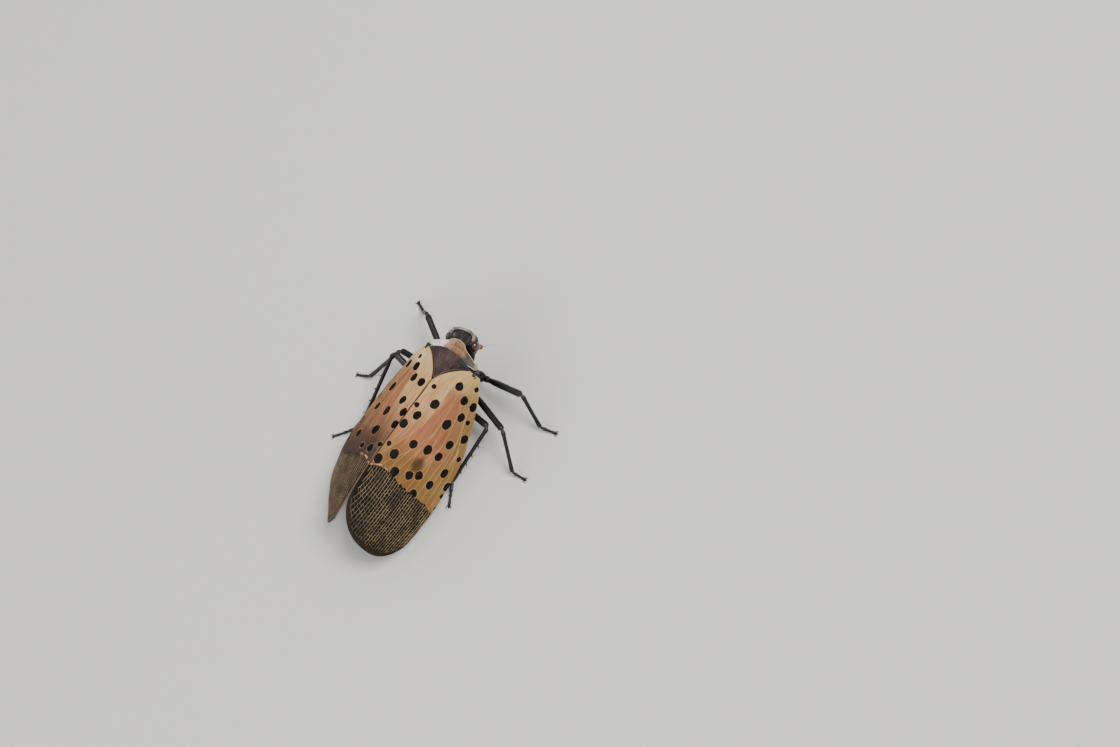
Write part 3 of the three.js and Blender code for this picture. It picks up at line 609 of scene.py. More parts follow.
def forewing(side, word, rows=190, columns=132):
    along, share = grid(np.linspace(0, 1, rows), np.linspace(0, 1, columns))
    ground, across = wing_point(side, along, share)
    y, out = ground[..., 1], girth(side, ground[..., 1], across)
    height, vein, width = wing_relief(side, along, share, across, y, out)
    spot = np.full(along.shape, FAR)
    for size, places in SPOTS[side].items():
        length, breadth = SPOT_SIZE[size]
        for back, off in places:
            reach = np.hypot((y - back) / length, (out - off) / breadth)
            spot = np.minimum(spot, (reach - 1) * breadth)
    end = rounded_end(ROOF[side]["apex"], share)
    suture = CLAVAL_SUTURE(along)
    smudge = [bell(value - at, wide) for value, at, wide in zip((y, out), SMUDGE["place"], SMUDGE["spread"])]
    values = {
        "spot": spot,
        "net": y - NET_BORDER(out),
        "vein": vein,
        "rim": np.minimum(end - y - 0.55 * smoothstep(0.3, 0.02, share), (1 - share) * width + 0.3),
        # distance from the inner edge, for the painted shadow and highlight there
        "seam_shade_and_highlight": share * width,
        "across": share,
        "clavus": (1 - smoothstep(-0.02, 0.03, share - suture)) * smoothstep(0.02, 0.06, suture),
        "smudge": smudge[0] * smudge[1] * (side < 0),
        "lane": np.interp(share, lane_edges(side), np.arange(LANES + 1)),
    }
    outer = wing_point(side, along, share, -height)[0]
    inner = wing_point(side, along, share, WING_THICKNESS - 0.6 * height)[0]
    points, faces = shell(outer, inner)
    flat = np.tile(np.stack([y, out], -1).reshape(-1, 2), (2, 1))
    name = "forewing_" + word
    piece("tegmen_" + word, points, faces, wing_paints[side], [name], on_both(values), flat)


for side, word in SIDES:
    forewing(side, word)


# The net at each wing's tip: pale fine veins raised on the dark membrane, close long ones joined
# by short cross ones, like courses of brick.
NET = {"long": 0.027, "cross": 0.013, "end": 0.004, "course": (0.4, 0.72), "bare": (0.35, 0.5), "steps": 72}


def strand_tree():
    tree = bpy.data.node_groups.new("strands", "GeometryNodeTree")
    tree.interface.new_socket("Geometry", in_out="INPUT", socket_type="NodeSocketGeometry")
    sides = tree.interface.new_socket("Sides", in_out="INPUT", socket_type="NodeSocketInt")
    finish = tree.interface.new_socket("Finish", in_out="INPUT", socket_type="NodeSocketMaterial")
    tree.interface.new_socket("Geometry", in_out="OUTPUT", socket_type="NodeSocketGeometry")
    source = tree.nodes.new("NodeGroupInput")
    curve = tree.nodes.new("GeometryNodeMeshToCurve")
    thickness = tree.nodes.new("GeometryNodeInputNamedAttribute")
    thickness.data_type = "FLOAT"
    thickness.inputs["Name"].default_value = "thickness"
    ring = tree.nodes.new("GeometryNodeCurvePrimitiveCircle")
    ring.inputs["Radius"].default_value = 1.0
    sweep = tree.nodes.new("GeometryNodeCurveToMesh")
    sweep.inputs["Fill Caps"].default_value = True
    smooth = tree.nodes.new("GeometryNodeSetShadeSmooth")
    coat = tree.nodes.new("GeometryNodeSetMaterial")
    end = tree.nodes.new("NodeGroupOutput")
    links = [
        (source, "Geometry", curve, "Mesh"),
        (curve, "Curve", sweep, "Curve"),
        (thickness, "Attribute", sweep, "Scale"),
        (source, "Sides", ring, "Resolution"),
        (ring, "Curve", sweep, "Profile Curve"),
        (sweep, "Mesh", smooth, "Geometry"),
        (smooth, "Geometry", coat, "Geometry"),
        (source, "Finish", coat, "Material"),
        (coat, "Geometry", end, "Geometry"),
    ]
    for giver, output, taker, socket in links:
        tree.links.new(giver.outputs[output], taker.inputs[socket])
    return tree, {"sides": sides.identifier, "finish": finish.identifier}


def grown(name, base, tree, settings):
    """The plain mesh that a node tree makes on a base mesh, riding on the body."""
    carrier = bpy.data.objects.new(name + "_base", base)
    bpy.context.scene.collection.objects.link(carrier)
    modifier = carrier.modifiers.new("grow", "NODES")
    modifier.node_group = tree
    for identifier, value in settings.items():
        modifier[identifier] = value
    evaluated = carrier.evaluated_get(bpy.context.evaluated_depsgraph_get())
    mesh = bpy.data.meshes.new_from_object(evaluated)
    mesh.name = name
    made = bpy.data.objects.new(name, mesh)
    carrier.modifiers.remove(modifier)
    bpy.data.objects.remove(carrier)
    bpy.context.scene.collection.objects.link(made)
    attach(made, "root")


strands, STRAND_INPUTS = strand_tree()


def strand_piece(name, paths, material, sides=6):
    """Round strands along paths, each a list of points and of radii in millimetres."""
    points = np.concatenate([path for path, _ in paths])
    radii = np.concatenate([np.broadcast_to(radius, len(path)) for path, radius in paths])
    starts = np.cumsum([0] + [len(path) for path, _ in paths])
    edges = [(i, i + 1) for start, stop in zip(starts[:-1], starts[1:]) for i in range(start, stop - 1)]
    mesh = bpy.data.meshes.new(name)
    mesh.from_pydata(placed(points).tolist(), edges, [])
    thickness = mesh.attributes.new("thickness", "FLOAT", "POINT")
    thickness.data.foreach_set("value", (radii * MM).astype(np.float32))
    settings = {STRAND_INPUTS["sides"]: sides, STRAND_INPUTS["finish"]: material}
    grown(name, mesh, strands, settings)


def net_paint(name, pale, dull):
    paint = Paint(name, 0.5)
    place = paint.place()
    patch = paint.noise(place, 900.0, 2.0)
    speck = paint.noise(place, 6000.0, 2.0)
    colour = paint.mix(patch.ramp(0.35, 0.7), pale, dull)
    colour = paint.mix(speck.ramp(0.55, 0.75) * 0.4, colour, dull)
    return paint.finish(colour, normal=paint.bump(speck, 0.00001, 0.4))


net_paints = {
    -1: net_paint("net_right", pigment(158, 136, 94), pigment(98, 80, 50)),
    1: net_paint("net_left", pigment(122, 100, 70), pigment(78, 62, 46)),
}


def net_start(side, share):
    """The share along a forewing at which the net begins, at a share across it."""
    probe = np.linspace(0.4, 1, 240)
    ground, across = wing_point(side, probe, np.full(len(probe), share))
    return probe[np.argmax(ground[:, 1] > NET_BORDER(girth(side, ground[:, 1], across)))]


def fanned(share, start, along):
    """Where a long vein of the net lies: those near the inner edge bend towards it at the tip."""
    reach = np.clip((along - start) / (1 - start), 0, 1)
    return share - 0.2 * (1 - share) ** 3 * reach**2.2


def bare_edge(share):
    """How much wider the bare margin of the net grows towards the wing's inner edge."""
    return 0.55 * smoothstep(0.34, 0.04, share)


def wing_net(side, word):
    draw = np.random.default_rng(11 + side)
    apex = ROOF[side]["apex"]
    steps = np.linspace(0, 1, NET["steps"])
    paths = []
    lanes = lane_edges(side)
    for share in lanes[1:-1]:
        start = net_start(side, share) + 0.006 * draw.uniform(-1, 1)
        bare = draw.uniform(*NET["bare"]) + bare_edge(share)
        stop = 1 - bare / (rounded_end(apex, share) - WING_FRONT)
        along = np.linspace(start, stop, NET["steps"])
        sway = np.cumsum(draw.normal(0, 0.0005, NET["steps"]))
        place = fanned(share, start, along) + sway - steps * sway[-1]
        kept = place > 0.02 + 0.03 * steps
        width = NET["long"] * (1 - 0.4 * steps**2) * draw.uniform(0.85, 1.15)
        width = width * smoothstep(0, 0.04, steps) * smoothstep(1, 0.94, steps) + NET["end"]
        paths.append((wing_surface(side, along[kept], place[kept], 0.008), width[kept]))
    for lane in range(LANES):
        edges = np.array([lanes[lane], (lanes[lane] + lanes[lane + 1]) / 2, lanes[lane + 1]])
        start, end = net_start(side, edges[1]), rounded_end(apex, edges[1])
        y = WING_FRONT + (end - WING_FRONT) * start + draw.uniform(0.0, 0.4)
        while y < end - NET["bare"][1] - bare_edge(edges[1]):
            along = (y - WING_FRONT) / (end - WING_FRONT)
            slant = draw.uniform(-0.05, 0.05) / (end - WING_FRONT)
            place = fanned(edges, start, along)
            if place[0] > 0.03:
                line = wing_surface(side, along + slant * np.array([-1, 0, 1]), place, 0.002)
                paths.append((line, NET["cross"]))
            y += draw.uniform(*NET["course"])
    strand_piece("net_" + word, paths, net_paints[side])


for side, word in SIDES:
    wing_net(side, word)


# Hindwings: thin pleated fans folded flat under the forewings, red with black spots at their root,
# then a pale band, and black with grey veins at the tip.
HINDWING = {"front": 4.4, "across": 0.86, "depth": 0.75, "thickness": 0.12}
HINDWING_APEX = {"reach": 18.4, "inner": 13.5, "outer": 13.5, "lean": 0.6}
HINDWING_PLEATS = 8


def hindwing_paint():
    paint = Paint("hindwing", 0.6)
    flat = paint.node("ShaderNodeUVMap", {"uv_map": "surface"})
    back = paint.attribute("back")
    cloud = paint.noise(flat, 0.8, 2.0)
    dots = paint.cells(flat, 0.85)
    red = paint.mix(cloud.ramp(0.3, 0.7), pigment(176, 30, 22), pigment(206, 64, 34))
    red = paint.mix(1 - dots.ramp(0.3, 0.36), red, pigment(24, 14, 14))
    band = paint.mix((back + 0.08 * (cloud - 0.5)).ramp(0.46, 0.5), red, pigment(214, 208, 196))
    black = paint.mix((back + 0.1 * (cloud - 0.5)).ramp(0.66, 0.7), band, pigment(28, 26, 28))
    colour = paint.mix((1 - paint.attribute("vein").ramp(0.03, 0.12)) * 0.6, black, pigment(122, 104, 92))
    return paint.finish(colour, normal=paint.bump(paint.noise(flat, 8.0), 0.00003, 0.4))


hindwing_material = hindwing_paint()


def hindwing(side, word, rows=90, columns=97):
    along, share = grid(np.linspace(0, 1, rows), np.linspace(0, 1, columns))
    y = HINDWING["front"] + (rounded_end(HINDWING_APEX, share) - HINDWING["front"]) * along
    start = across_at(side, y, 0.25)
    across = start + (HINDWING["across"] - start) * share
    fold = 0.5 - 0.5 * np.cos(share * HINDWING_PLEATS * 2 * math.pi)
    depth = HINDWING["depth"] + 0.16 * fold
    outer = roof(side, y, across, depth)
    inner = roof(side, y, across, depth + HINDWING["thickness"])
    points, faces = shell(outer, inner)
    flat = np.tile(np.stack([y, girth(side, y, across)], -1).reshape(-1, 2), (2, 1))
    values = {"back": along, "vein": np.abs(np.sin(share * HINDWING_PLEATS * math.pi))}
    name = "hindwing_" + word
    piece("fan_" + word, points, faces, hindwing_material, [name], on_both(values), flat)


for side, word in SIDES:
    hindwing(side, word)


# Collar and shield: the pronotum is a short grey-beige band over the neck with a keel along its
# middle and a lobe down each side. Behind it the dark mesonotum fills the space between the wing
# roots, with three keels that run back to its point.
PRONOTUM = {"half": 3.05, "lobe": 0.8, "keel": 0.1, "thickness": 0.3, "top": 7.2, "arch": 0.07, "drop": 0.95}
PRONOTUM_FRONT = profile([(0, -1.27), (0.75, -1.1), (1.2, -0.72), (2, -0.38), (3.05, 0.05), (4, 0.2)])
PRONOTUM_REAR = profile([(0, 0.42), (1.3, 0.55), (2.2, 0.62), (3.05, 0.6), (4, 0.55)])
MESONOTUM = {"front": 0.6, "tip": 3.62, "gap": 0.12, "dome": 0.22, "keel": 0.09, "bow": 0.4, "thickness": 0.4}


def pronotum_point(s, along, depth):
    flat = np.minimum(np.abs(s), PRONOTUM["half"])
    lobe = np.maximum(np.abs(s) - PRONOTUM["half"], 0)
    front, rear = PRONOTUM_FRONT(np.abs(s)), PRONOTUM_REAR(np.abs(s))
    y = front + (rear - front) * along
    lean = 0.15 * flat + 0.5 * np.minimum(lobe, 1)
    z = PRONOTUM["top"] - PRONOTUM["arch"] * flat**2 - PRONOTUM["drop"] * lobe
    x = np.sign(s) * (flat - 0.05 * lobe - depth * np.sin(lean))
    return np.stack([x, y, z - depth * np.cos(lean)], axis=-1)


def collar_paint():
    paint = Paint("pronotum", 0.55)
    place = paint.place()
    middle, rim = paint.attribute("middle"), paint.attribute("rim")
    cloud = paint.noise(place, 700.0, 4.0)
    pits = paint.cells(place, 5200.0)
    pale = paint.mix(cloud.ramp(0.35, 0.65), pigment(250, 246, 240), pigment(222, 214, 202))
    grey = paint.mix(cloud.ramp(0.35, 0.65), pigment(84, 72, 54), pigment(54, 45, 34))
    # painted light and shade: near white on the collar's lit left side, dark grey on its shaded right side
    colour = paint.mix(paint.attribute("flank").ramp(0.3, 0.6), pale, grey)
    tan = (middle + 0.8 * (cloud - 0.5)).ramp(0.3, 0.6)
    colour = paint.mix(tan * 0.9, colour, pigment(148, 104, 58))
    spots = paint.noise(place, 2400.0, 3.0).ramp(0.53, 0.62)
    colour = paint.layered(
        colour,
        (spots * middle.ramp(0.05, 0.4) * 0.7, pigment(70, 50, 36)),
        (paint.attribute("line") * 0.6, pigment(66, 54, 46)),
        (paint.attribute("lobe") * 0.7, pigment(188, 186, 160)),
        (1 - rim.ramp(0.03, 0.1), pigment(190, 172, 142)),
    )
    normal = paint.bump((1 - pits.ramp(0.05, 0.35)) * -1 + 0.5 * cloud, 0.00003, 0.5)
    return paint.finish(colour, normal=normal)


def shield_paint():
    paint = Paint("mesonotum", Specular_IOR_Level=0.2)
    place = paint.place()
    cloud = paint.noise(place, 600.0, 3.0)
    grain = paint.noise(place, 7000.0, 2.0)
    streaks = paint.noise(paint.stretched(place, (9000.0, 900.0, 900.0)), 1.0, 3.0)
    colour = paint.mix(cloud.ramp(0.3, 0.7), pigment(50, 38, 38), pigment(78, 60, 56))
    colour = paint.layered(
        colour,
        # painted shade: the shield goes black towards its sides, where it meets the wing roots
        (paint.attribute("flank").ramp(0.35, 0.85) * 0.85, pigment(13, 10, 12)),
        (streaks.ramp(0.55, 0.72) * 0.4, pigment(116, 90, 80)),
        ((1 - paint.attribute("rim").ramp(0.02, 0.09)) * 0.6, pigment(132, 106, 86)),
    )
    normal = paint.bump(grain + streaks, 0.000015, 0.6)
    return paint.finish(colour, 0.4 + 0.16 * grain, normal)


reach = PRONOTUM["half"] + PRONOTUM["lobe"]
along, s = grid(np.linspace(0, 1, 34), np.linspace(-reach, reach, 181))
off = np.abs(s)
length = PRONOTUM_REAR(off) - PRONOTUM_FRONT(off)
edge = np.minimum(along, 1 - along) * length
dent = 0.05 * bell((along - 0.3) * length, 0.2) * smoothstep(0.25, 0.5, off)
side_keels = 0.05 * bell(off - 0.95 - 0.25 * along, 0.07)
swell = 0.06 * smoothstep(0.02, 0.12, edge) - dent
height = swell + PRONOTUM["keel"] * bell(s, 0.07) + side_keels - 0.06
thinned = (0.35 + 0.65 * smoothstep(0, 0.2, edge)) * (1 - 0.5 * smoothstep(2.7, 3.4, off))
underside = pronotum_point(s, along, PRONOTUM["thickness"] * thinned)
points, faces = shell(pronotum_point(s, along, -height), underside)
values = {
    "middle": bell(s, 1.35),
    "rim": edge,
    "line": bell(off - 0.13, 0.05),
    # share across the collar for its painted light and shade
    "flank": 0.5 - s / 2.6,
    "lobe": smoothstep(2.7, 3.3, off),
}
piece("collar", points, faces, collar_paint(), ["pronotum"], on_both(values))

along, across = grid(np.linspace(0, 1, 70), np.linspace(-1, 1, 91))
y = MESONOTUM["front"] + (MESONOTUM["tip"] - MESONOTUM["front"]) * along
flare = np.where(y < WING_FRONT, 1 + 0.2 * (WING_FRONT - y), 1)
half = np.maximum(INNER_EDGE(y) - MESONOTUM["gap"], 0.03) * flare
x = across * half
fade = 1 - 0.8 * along
keels = sum(bell((across - at) * half, 0.07) for at in (-0.5, 0.0, 0.5))
crown = MESONOTUM["dome"] * (1 - across**2) * fade + MESONOTUM["keel"] * keels * fade
level = roof(1, np.maximum(y, 0.9), across_at(1, np.maximum(y, 0.9), np.abs(x)))[..., 2]
front_bow = MESONOTUM["bow"] * (1 - along) * (1 - (x / 2.2) ** 2)
outer = np.stack([x, y - front_bow, level + crown - 0.05], axis=-1)
inner = outer - np.array([0, 0, MESONOTUM["thickness"]])
points, faces = shell(outer, inner)
# share towards each side for the painted shade, heavier on the right
flank = np.where(across < 0, 1.0, 0.75) * np.abs(across) * smoothstep(1.0, 0.4, along)
values = {"rim": (1 - np.abs(across)) * half, "flank": flank}
piece("shield", points, faces, shield_paint(), ["mesonotum"], on_both(values))


# Trunk: the dark thorax fills the space under the wing roots. Grooves part its side plates.
THORAX = {"front": -0.75, "rear": 4.9, "half": 2.8, "floor": 1.75, "square": 0.62, "top": 6.82}
THORAX_GROOVES = [(1.05, 0.12), (2.05, -0.1), (3.05, 0.14)]


def power(value, exponent):
    return np.sign(value) * np.abs(value) ** exponent


def surface_normals(rings):
    """Outward normals of rings of points, each ring closed."""
    along = np.gradient(rings, axis=0)
    around = np.roll(rings, -1, axis=1) - np.roll(rings, 1, axis=1)
    normals = np.cross(along, around)
    normals /= np.maximum(np.linalg.norm(normals, axis=2, keepdims=True), 1e-9)
    outward = (normals * (rings - rings.mean(axis=1, keepdims=True))).sum()
    return normals * (1 if outward > 0 else -1)


def raised(rings, height):
    return rings + surface_normals(rings) * height[..., None]


def capped(values, first=0, last=0):
    """Values of a loft's rings, with those of the middle points of its first and last ring."""
    return np.r_[values.ravel(), first, last]


def cuticle_paint(name, dark, light, roughness=0.3):
    paint = Paint(name, Specular_IOR_Level=0.4)
    place = paint.place()
    joint, crest_highlight = paint.attribute("joint"), paint.attribute("crest_highlight")
    cloud = paint.noise(place, 900.0, 3.0)
    grain = paint.noise(place, 5000.0, 2.0)
    colour = paint.mix(cloud.ramp(0.4, 0.75) * 0.5, dark, light)
    # painted highlight: lighter along the crests, which are the sharp edges of the legs
    colour = paint.mix(crest_highlight * 0.5, colour, light)
    colour = paint.mix(joint * 0.5, colour, pigment(84, 62, 46))
    normal = paint.bump(grain, 0.00001, 0.5)
    return paint.finish(colour, roughness + 0.18 * grain + 0.15 * joint, normal, coat=0.1)


body_paint = cuticle_paint("body_cuticle", pigment(22, 20, 22), pigment(62, 56, 54))
share, turn = grid(np.linspace(0, 1, 90), round_turn(120))
y = THORAX["front"] + (THORAX["rear"] - THORAX["front"]) * share
widening = 0.88 + 0.12 * np.sin(np.minimum(share * 4, 1) * math.pi / 2)
width = THORAX["half"] * widening * (1 - 0.12 * share**6)
low = THORAX["floor"] + 0.5 * (1 - smoothstep(0, 0.14, share))
under_wing = np.maximum(y, WING_FRONT)
high = RIDGE_HEIGHT(under_wing) - 0.5
x = width * power(np.sin(turn), THORAX["square"])
z = (high + low) / 2 + (high - low) / 2 * power(np.cos(turn), THORAX["square"])
limit = roof(1, under_wing, across_at(1, under_wing, np.abs(x)), 0.4)[..., 2]
z = np.minimum(z, np.where(y < WING_FRONT, THORAX["top"] - PRONOTUM["arch"] * x**2, limit))
behind_collar = np.maximum(PRONOTUM_FRONT(np.abs(x)) + 0.2 - THORAX["front"], 0)
y = y + behind_collar * smoothstep(0.25, 0, share)
rings = np.stack([x, y, z], axis=-1)
groove = sum(bell(y - at - lean * (z - 3), 0.05) for at, lean in THORAX_GROOVES)
groove = np.maximum(groove, bell(z - 3.3 - 0.1 * y, 0.05))
points, faces = loft(raised(rings, -0.07 * groove + 0.05 * np.sin(5 * y) * np.sin(3 * z)))
values = {"joint": capped(groove * 0.35), "crest_highlight": np.zeros(len(points))}
piece("thorax_skin", points, faces, body_paint, ["thorax"], values)


# Tegulae: a small scale that covers the joint at each wing's front corner.
SCALE = {"place": (3.18, 0.85, 6.2), "radii": (0.25, 0.42, 0.18)}
SCALE_KNOB = {"place": (3.36, 1.25, 5.98), "radii": (0.17, 0.28, 0.13)}


def mirrored(place, side):
    return np.array(place) * (side, 1, 1)


def ellipsoid(centre, radii, columns=32, rows=18):
    """The rings of an ellipsoid that stands on its long axis."""
    tilt, turn = grid(np.linspace(0.04, math.pi - 0.04, rows), round_turn(columns))
    unit_rings = np.stack([np.sin(tilt) * np.cos(turn), np.sin(tilt) * np.sin(turn), np.cos(tilt)], axis=-1)
    return np.asarray(centre) + unit_rings * np.asarray(radii)


def merged(parts):
    """Several bodies' points and faces as one mesh."""
    points, faces, count = [], [], 0
    for part_points, part_faces in parts:
        points.append(part_points)
        faces += [tuple(int(i) + count for i in face) for face in part_faces]
        count += len(part_points)
    return np.concatenate(points), faces


def plain_values(points):
    return {"joint": np.zeros(len(points)), "crest_highlight": np.zeros(len(points))}


for side, word in SIDES:
    scale = ellipsoid(mirrored(SCALE["place"], side), SCALE["radii"])
    ripple = 0.02 * np.sin(12 * scale[..., 1])
    knob = ellipsoid(mirrored(SCALE_KNOB["place"], side), SCALE_KNOB["radii"])
    points, faces = merged([loft(raised(scale, ripple)), loft(knob)])
    piece("scale_" + word, points, faces, body_paint, ["tegula_" + word], plain_values(points))


# Abdomen: seven rings, swollen with eggs, that slide into one another. Black plates above and
# below are joined by soft yellow skin at the sides and at each ring's rear edge.
ABDOMEN = {"front": 4.6, "rear": 15.2, "half": 2.95, "segments": 7}


def abdomen_paint():
    paint = Paint("abdomen", Specular_IOR_Level=0.4)
    place = paint.place()
    ring, turn = paint.attribute("ring"), paint.attribute("turn")
    cloud = paint.noise(place, 1100.0, 3.0)
    grain = paint.noise(place, 6000.0, 2.0)
    yellow = paint.mix(cloud.ramp(0.3, 0.7), pigment(214, 168, 52), pigment(232, 198, 96))
    above = 1 - (turn + 0.5 * (cloud - 0.5)).ramp(1.05, 1.25)
    below = (turn + 0.5 * (cloud - 0.5)).ramp(2.1, 2.3)
    plate = (above + below) * (1 - (ring + 0.16 * (cloud - 0.5)).ramp(0.6, 0.68))
    flank = 1 - ((turn - 1.65).size() + (ring - 0.35).size()).ramp(0.14, 0.24)
    colour = paint.mix(plate, yellow, pigment(26, 22, 22))
    colour = paint.mix(flank * 0.85, colour, pigment(40, 32, 28))
    wax = paint.noise(place, 2600.0, 4.0).ramp(0.55, 0.75)
    colour = paint.mix(wax * 0.35, colour, pigment(232, 230, 222))
    return paint.finish(colour, 0.42 + 0.2 * wax, paint.bump(grain + cloud, 0.00002, 0.5))


SEGMENT_ROWS = 20
at, turn = grid(np.linspace(0, ABDOMEN["segments"], ABDOMEN["segments"] * SEGMENT_ROWS + 1), round_turn(128))
share = at / ABDOMEN["segments"]
y = ABDOMEN["front"] + (ABDOMEN["rear"] - ABDOMEN["front"]) * share
taper = np.sqrt(np.maximum(0, 1 - (np.maximum(share - 0.4, 0) / 0.63) ** 2))
taper = np.where(share > 0.98, taper * 0.85, taper)
within = at % 1
step = 0.11 * (smoothstep(0, 0.12, within) + 0.4 * within - 0.9 * smoothstep(0.9, 0.99, within))
width = ABDOMEN["half"] * taper * (0.9 + 0.1 * np.minimum(share * 5, 1))
top = RIDGE_HEIGHT(y) - 1.25 - 1.6 * (1 - taper)
bottom = 1.25 + 1.0 * (1 - taper)
x = width * np.sin(turn)
z = (top + bottom) / 2 + (top - bottom) / 2 * np.cos(turn)
limits = [roof(way, y, across_at(way, y, np.abs(x)), 1.1)[..., 2] for way in (-1, 1)]
z = np.minimum(z, np.where(x < 0, limits[0], limits[1]))
angle = np.minimum(turn, 2 * math.pi - turn)
fold = -0.09 * bell(angle - 1.95, 0.07) - 0.05 * bell(angle - 1.3, 0.06)
abdomen_rings = raised(np.stack([x + TAIL_SWAY(y), y, z], axis=-1), step + fold)
points, faces = loft(abdomen_rings)
values = {"ring": capped(within, 0.9, 0.9), "turn": capped(angle, 1.6, 1.6)}
piece("abdomen_skin", points, faces, abdomen_paint(), ["abdomen"], values)


# Valvifers: the pair of swollen red plates at the end of a female's abdomen, with a groove between.
VALVIFER = {"front": 14.7, "length": 2.55, "spread": 0.6, "radii": (0.78, 0.66), "height": 3.1}


def valvifer_paint():
    paint = Paint("valvifers", Specular_IOR_Level=0.45)
    place = paint.place()
    cloud = paint.noise(place, 1500.0, 3.0)
    colour = paint.mix(cloud.ramp(0.3, 0.7), pigment(170, 30, 22), pigment(206, 62, 34))
    colour = paint.mix(paint.attribute("tip") * 0.9, colour, pigment(40, 20, 18))
    return paint.finish(colour, 0.36, paint.bump(cloud, 0.00002, 0.5))


lobes, tips = [], []
for side in (-1, 1):
    share, turn = grid(np.linspace(0, 0.995, 44), round_turn(56))
    size = np.sqrt(1 - share**2.4) * (0.7 + 0.3 * smoothstep(0, 0.4, share))
    size = size * (1 + 0.05 * np.sin(share * 22) * (1 - share))
    centre = TAIL_SWAY(VALVIFER["front"]) + side * VALVIFER["spread"] * (1 - 0.25 * share)
    x = centre + VALVIFER["radii"][0] * size * np.sin(turn)
    y = VALVIFER["front"] + share * VALVIFER["length"]
    z = VALVIFER["height"] - 0.3 * share + VALVIFER["radii"][1] * size * np.cos(turn)
    lobes.append(loft(np.stack([x, y, z], axis=-1)))
    tips.append(capped(smoothstep(0.86, 0.98, share), 0, 1))
points, faces = merged(lobes)
values = {"tip": np.concatenate(tips)}
piece("valvifer_lobes", points, faces, valvifer_paint(), ["valvifers"], values)


# Head: a short broad capsule, turned a little to the left. Its top is a hollow with a raised rim,
# its long face has a keel down each side and two between them, and it narrows to the clypeus.
HEAD = {"neck": -0.95, "yaw": 0.16, "shift": 0.25, "columns": 200, "rows": 170}
HEAD_SLICES = {
    "height": [2.1, 2.35, 2.6, 3.2, 3.5, 4.1, 4.9, 5.6, 6.2, 6.5, 6.5, 6.4, 6.36],
    "half": [0.2, 0.4, 0.55, 0.88, 1.05, 1.22, 1.4, 1.62, 1.62, 1.42, 1.15, 0.75, 0.3],
    "front": [-1.72, -1.9, -1.98, -2.15, -2.2, -2.38, -2.5, -2.6, -2.74, -2.7, -2.45, -2.15, -1.9],
    "back": [-1.45, -1.3, -1.15, -1.0, -0.95, -0.95, -0.95, -0.95, -0.95, -0.95, -1.1, -1.3, -1.6],
}
EYE = {"place": (1.5, -1.5, 5.72), "radii": (0.54, 0.6, 0.7)}
SIMPLE_EYE = {"place": (1.55, -2.02, 5.12), "radius": 0.09}
FEELER = {"place": (1.36, -1.75, 4.62), "way": (0.8, -0.5, 0.12), "bulb": 0.27, "length": 1.9, "droop": 0.35}


def on_head(points):
    c, s = math.cos(HEAD["yaw"]), math.sin(HEAD["yaw"])
    x, y, z = np.moveaxis(np.asarray(points, float), -1, 0)
    back = y - HEAD["neck"]
    return np.stack([x * c - back * s + HEAD["shift"], HEAD["neck"] + x * s + back * c, z], axis=-1)


def head_paint():
    paint = Paint("head", Specular_IOR_Level=0.45)
    place = paint.place()
    crest_highlight, brow, face, pit = (paint.attribute(key) for key in ("crest_highlight", "brow", "face", "pit"))
    cloud = paint.noise(place, 1300.0, 3.0)
    stripes = paint.noise(paint.stretched(place, (5200.0, 900.0, 900.0)), 1.0, 2.0)
    grain = paint.noise(place, 7000.0, 2.0)
    colour = paint.mix(cloud.ramp(0.35, 0.7), pigment(20, 17, 18), pigment(46, 39, 36))
    colour = paint.mix(brow * stripes.ramp(0.56, 0.66) * 0.7, colour, pigment(112, 84, 64))
    colour = paint.mix(face * cloud.ramp(0.45, 0.7) * 0.5, colour, pigment(70, 58, 48))
    # painted highlight: pale along the keels, the rim of the crown and around the eyes
    ridged = crest_highlight.ramp(0.6, 1.0) * (0.3 + 0.45 * cloud.ramp(0.4, 0.6))
    colour = paint.mix(ridged, colour, pigment(170, 156, 136))
    colour = paint.mix(pit * 0.8, colour, pigment(12, 10, 11))
    return paint.finish(colour, 0.34 + 0.2 * grain, paint.bump(grain, 0.00001, 0.6))


slices = {key: profile(list(enumerate(values))) for key, values in HEAD_SLICES.items()}
last = len(HEAD_SLICES["height"]) - 1
level, turn = grid(np.linspace(0, last, HEAD["rows"]), round_turn(HEAD["columns"]))
height, half, front, back = (slices[key](level) for key in ("height", "half", "front", "back"))
x = half * power(np.sin(turn), 0.8)
y = (front + back) / 2 + (front - back) / 2 * power(np.cos(turn), 0.84)
rings = np.stack([x, y, height], axis=-1)
offset = x / np.maximum(half, 0.01)
off = np.abs(offset)
facing = smoothstep(0.15, 0.5, np.cos(turn))
rim = smoothstep(8.0, 8.8, level) * (1 - smoothstep(9.6, 10.2, level))
on_face = facing * smoothstep(3.4, 4.2, level) * (1 - smoothstep(8.8, 9.4, level))
side_keels = np.maximum(bell((off - 0.86) * half, 0.06), 0.7 * bell((off - 0.42) * half, 0.05))
keel = on_face * side_keels + 0.45 * facing * bell(x, 0.045) * smoothstep(2, 9, level)
clypeus = facing * smoothstep(0.5, 1, level) * (1 - smoothstep(2.9, 3.5, level))
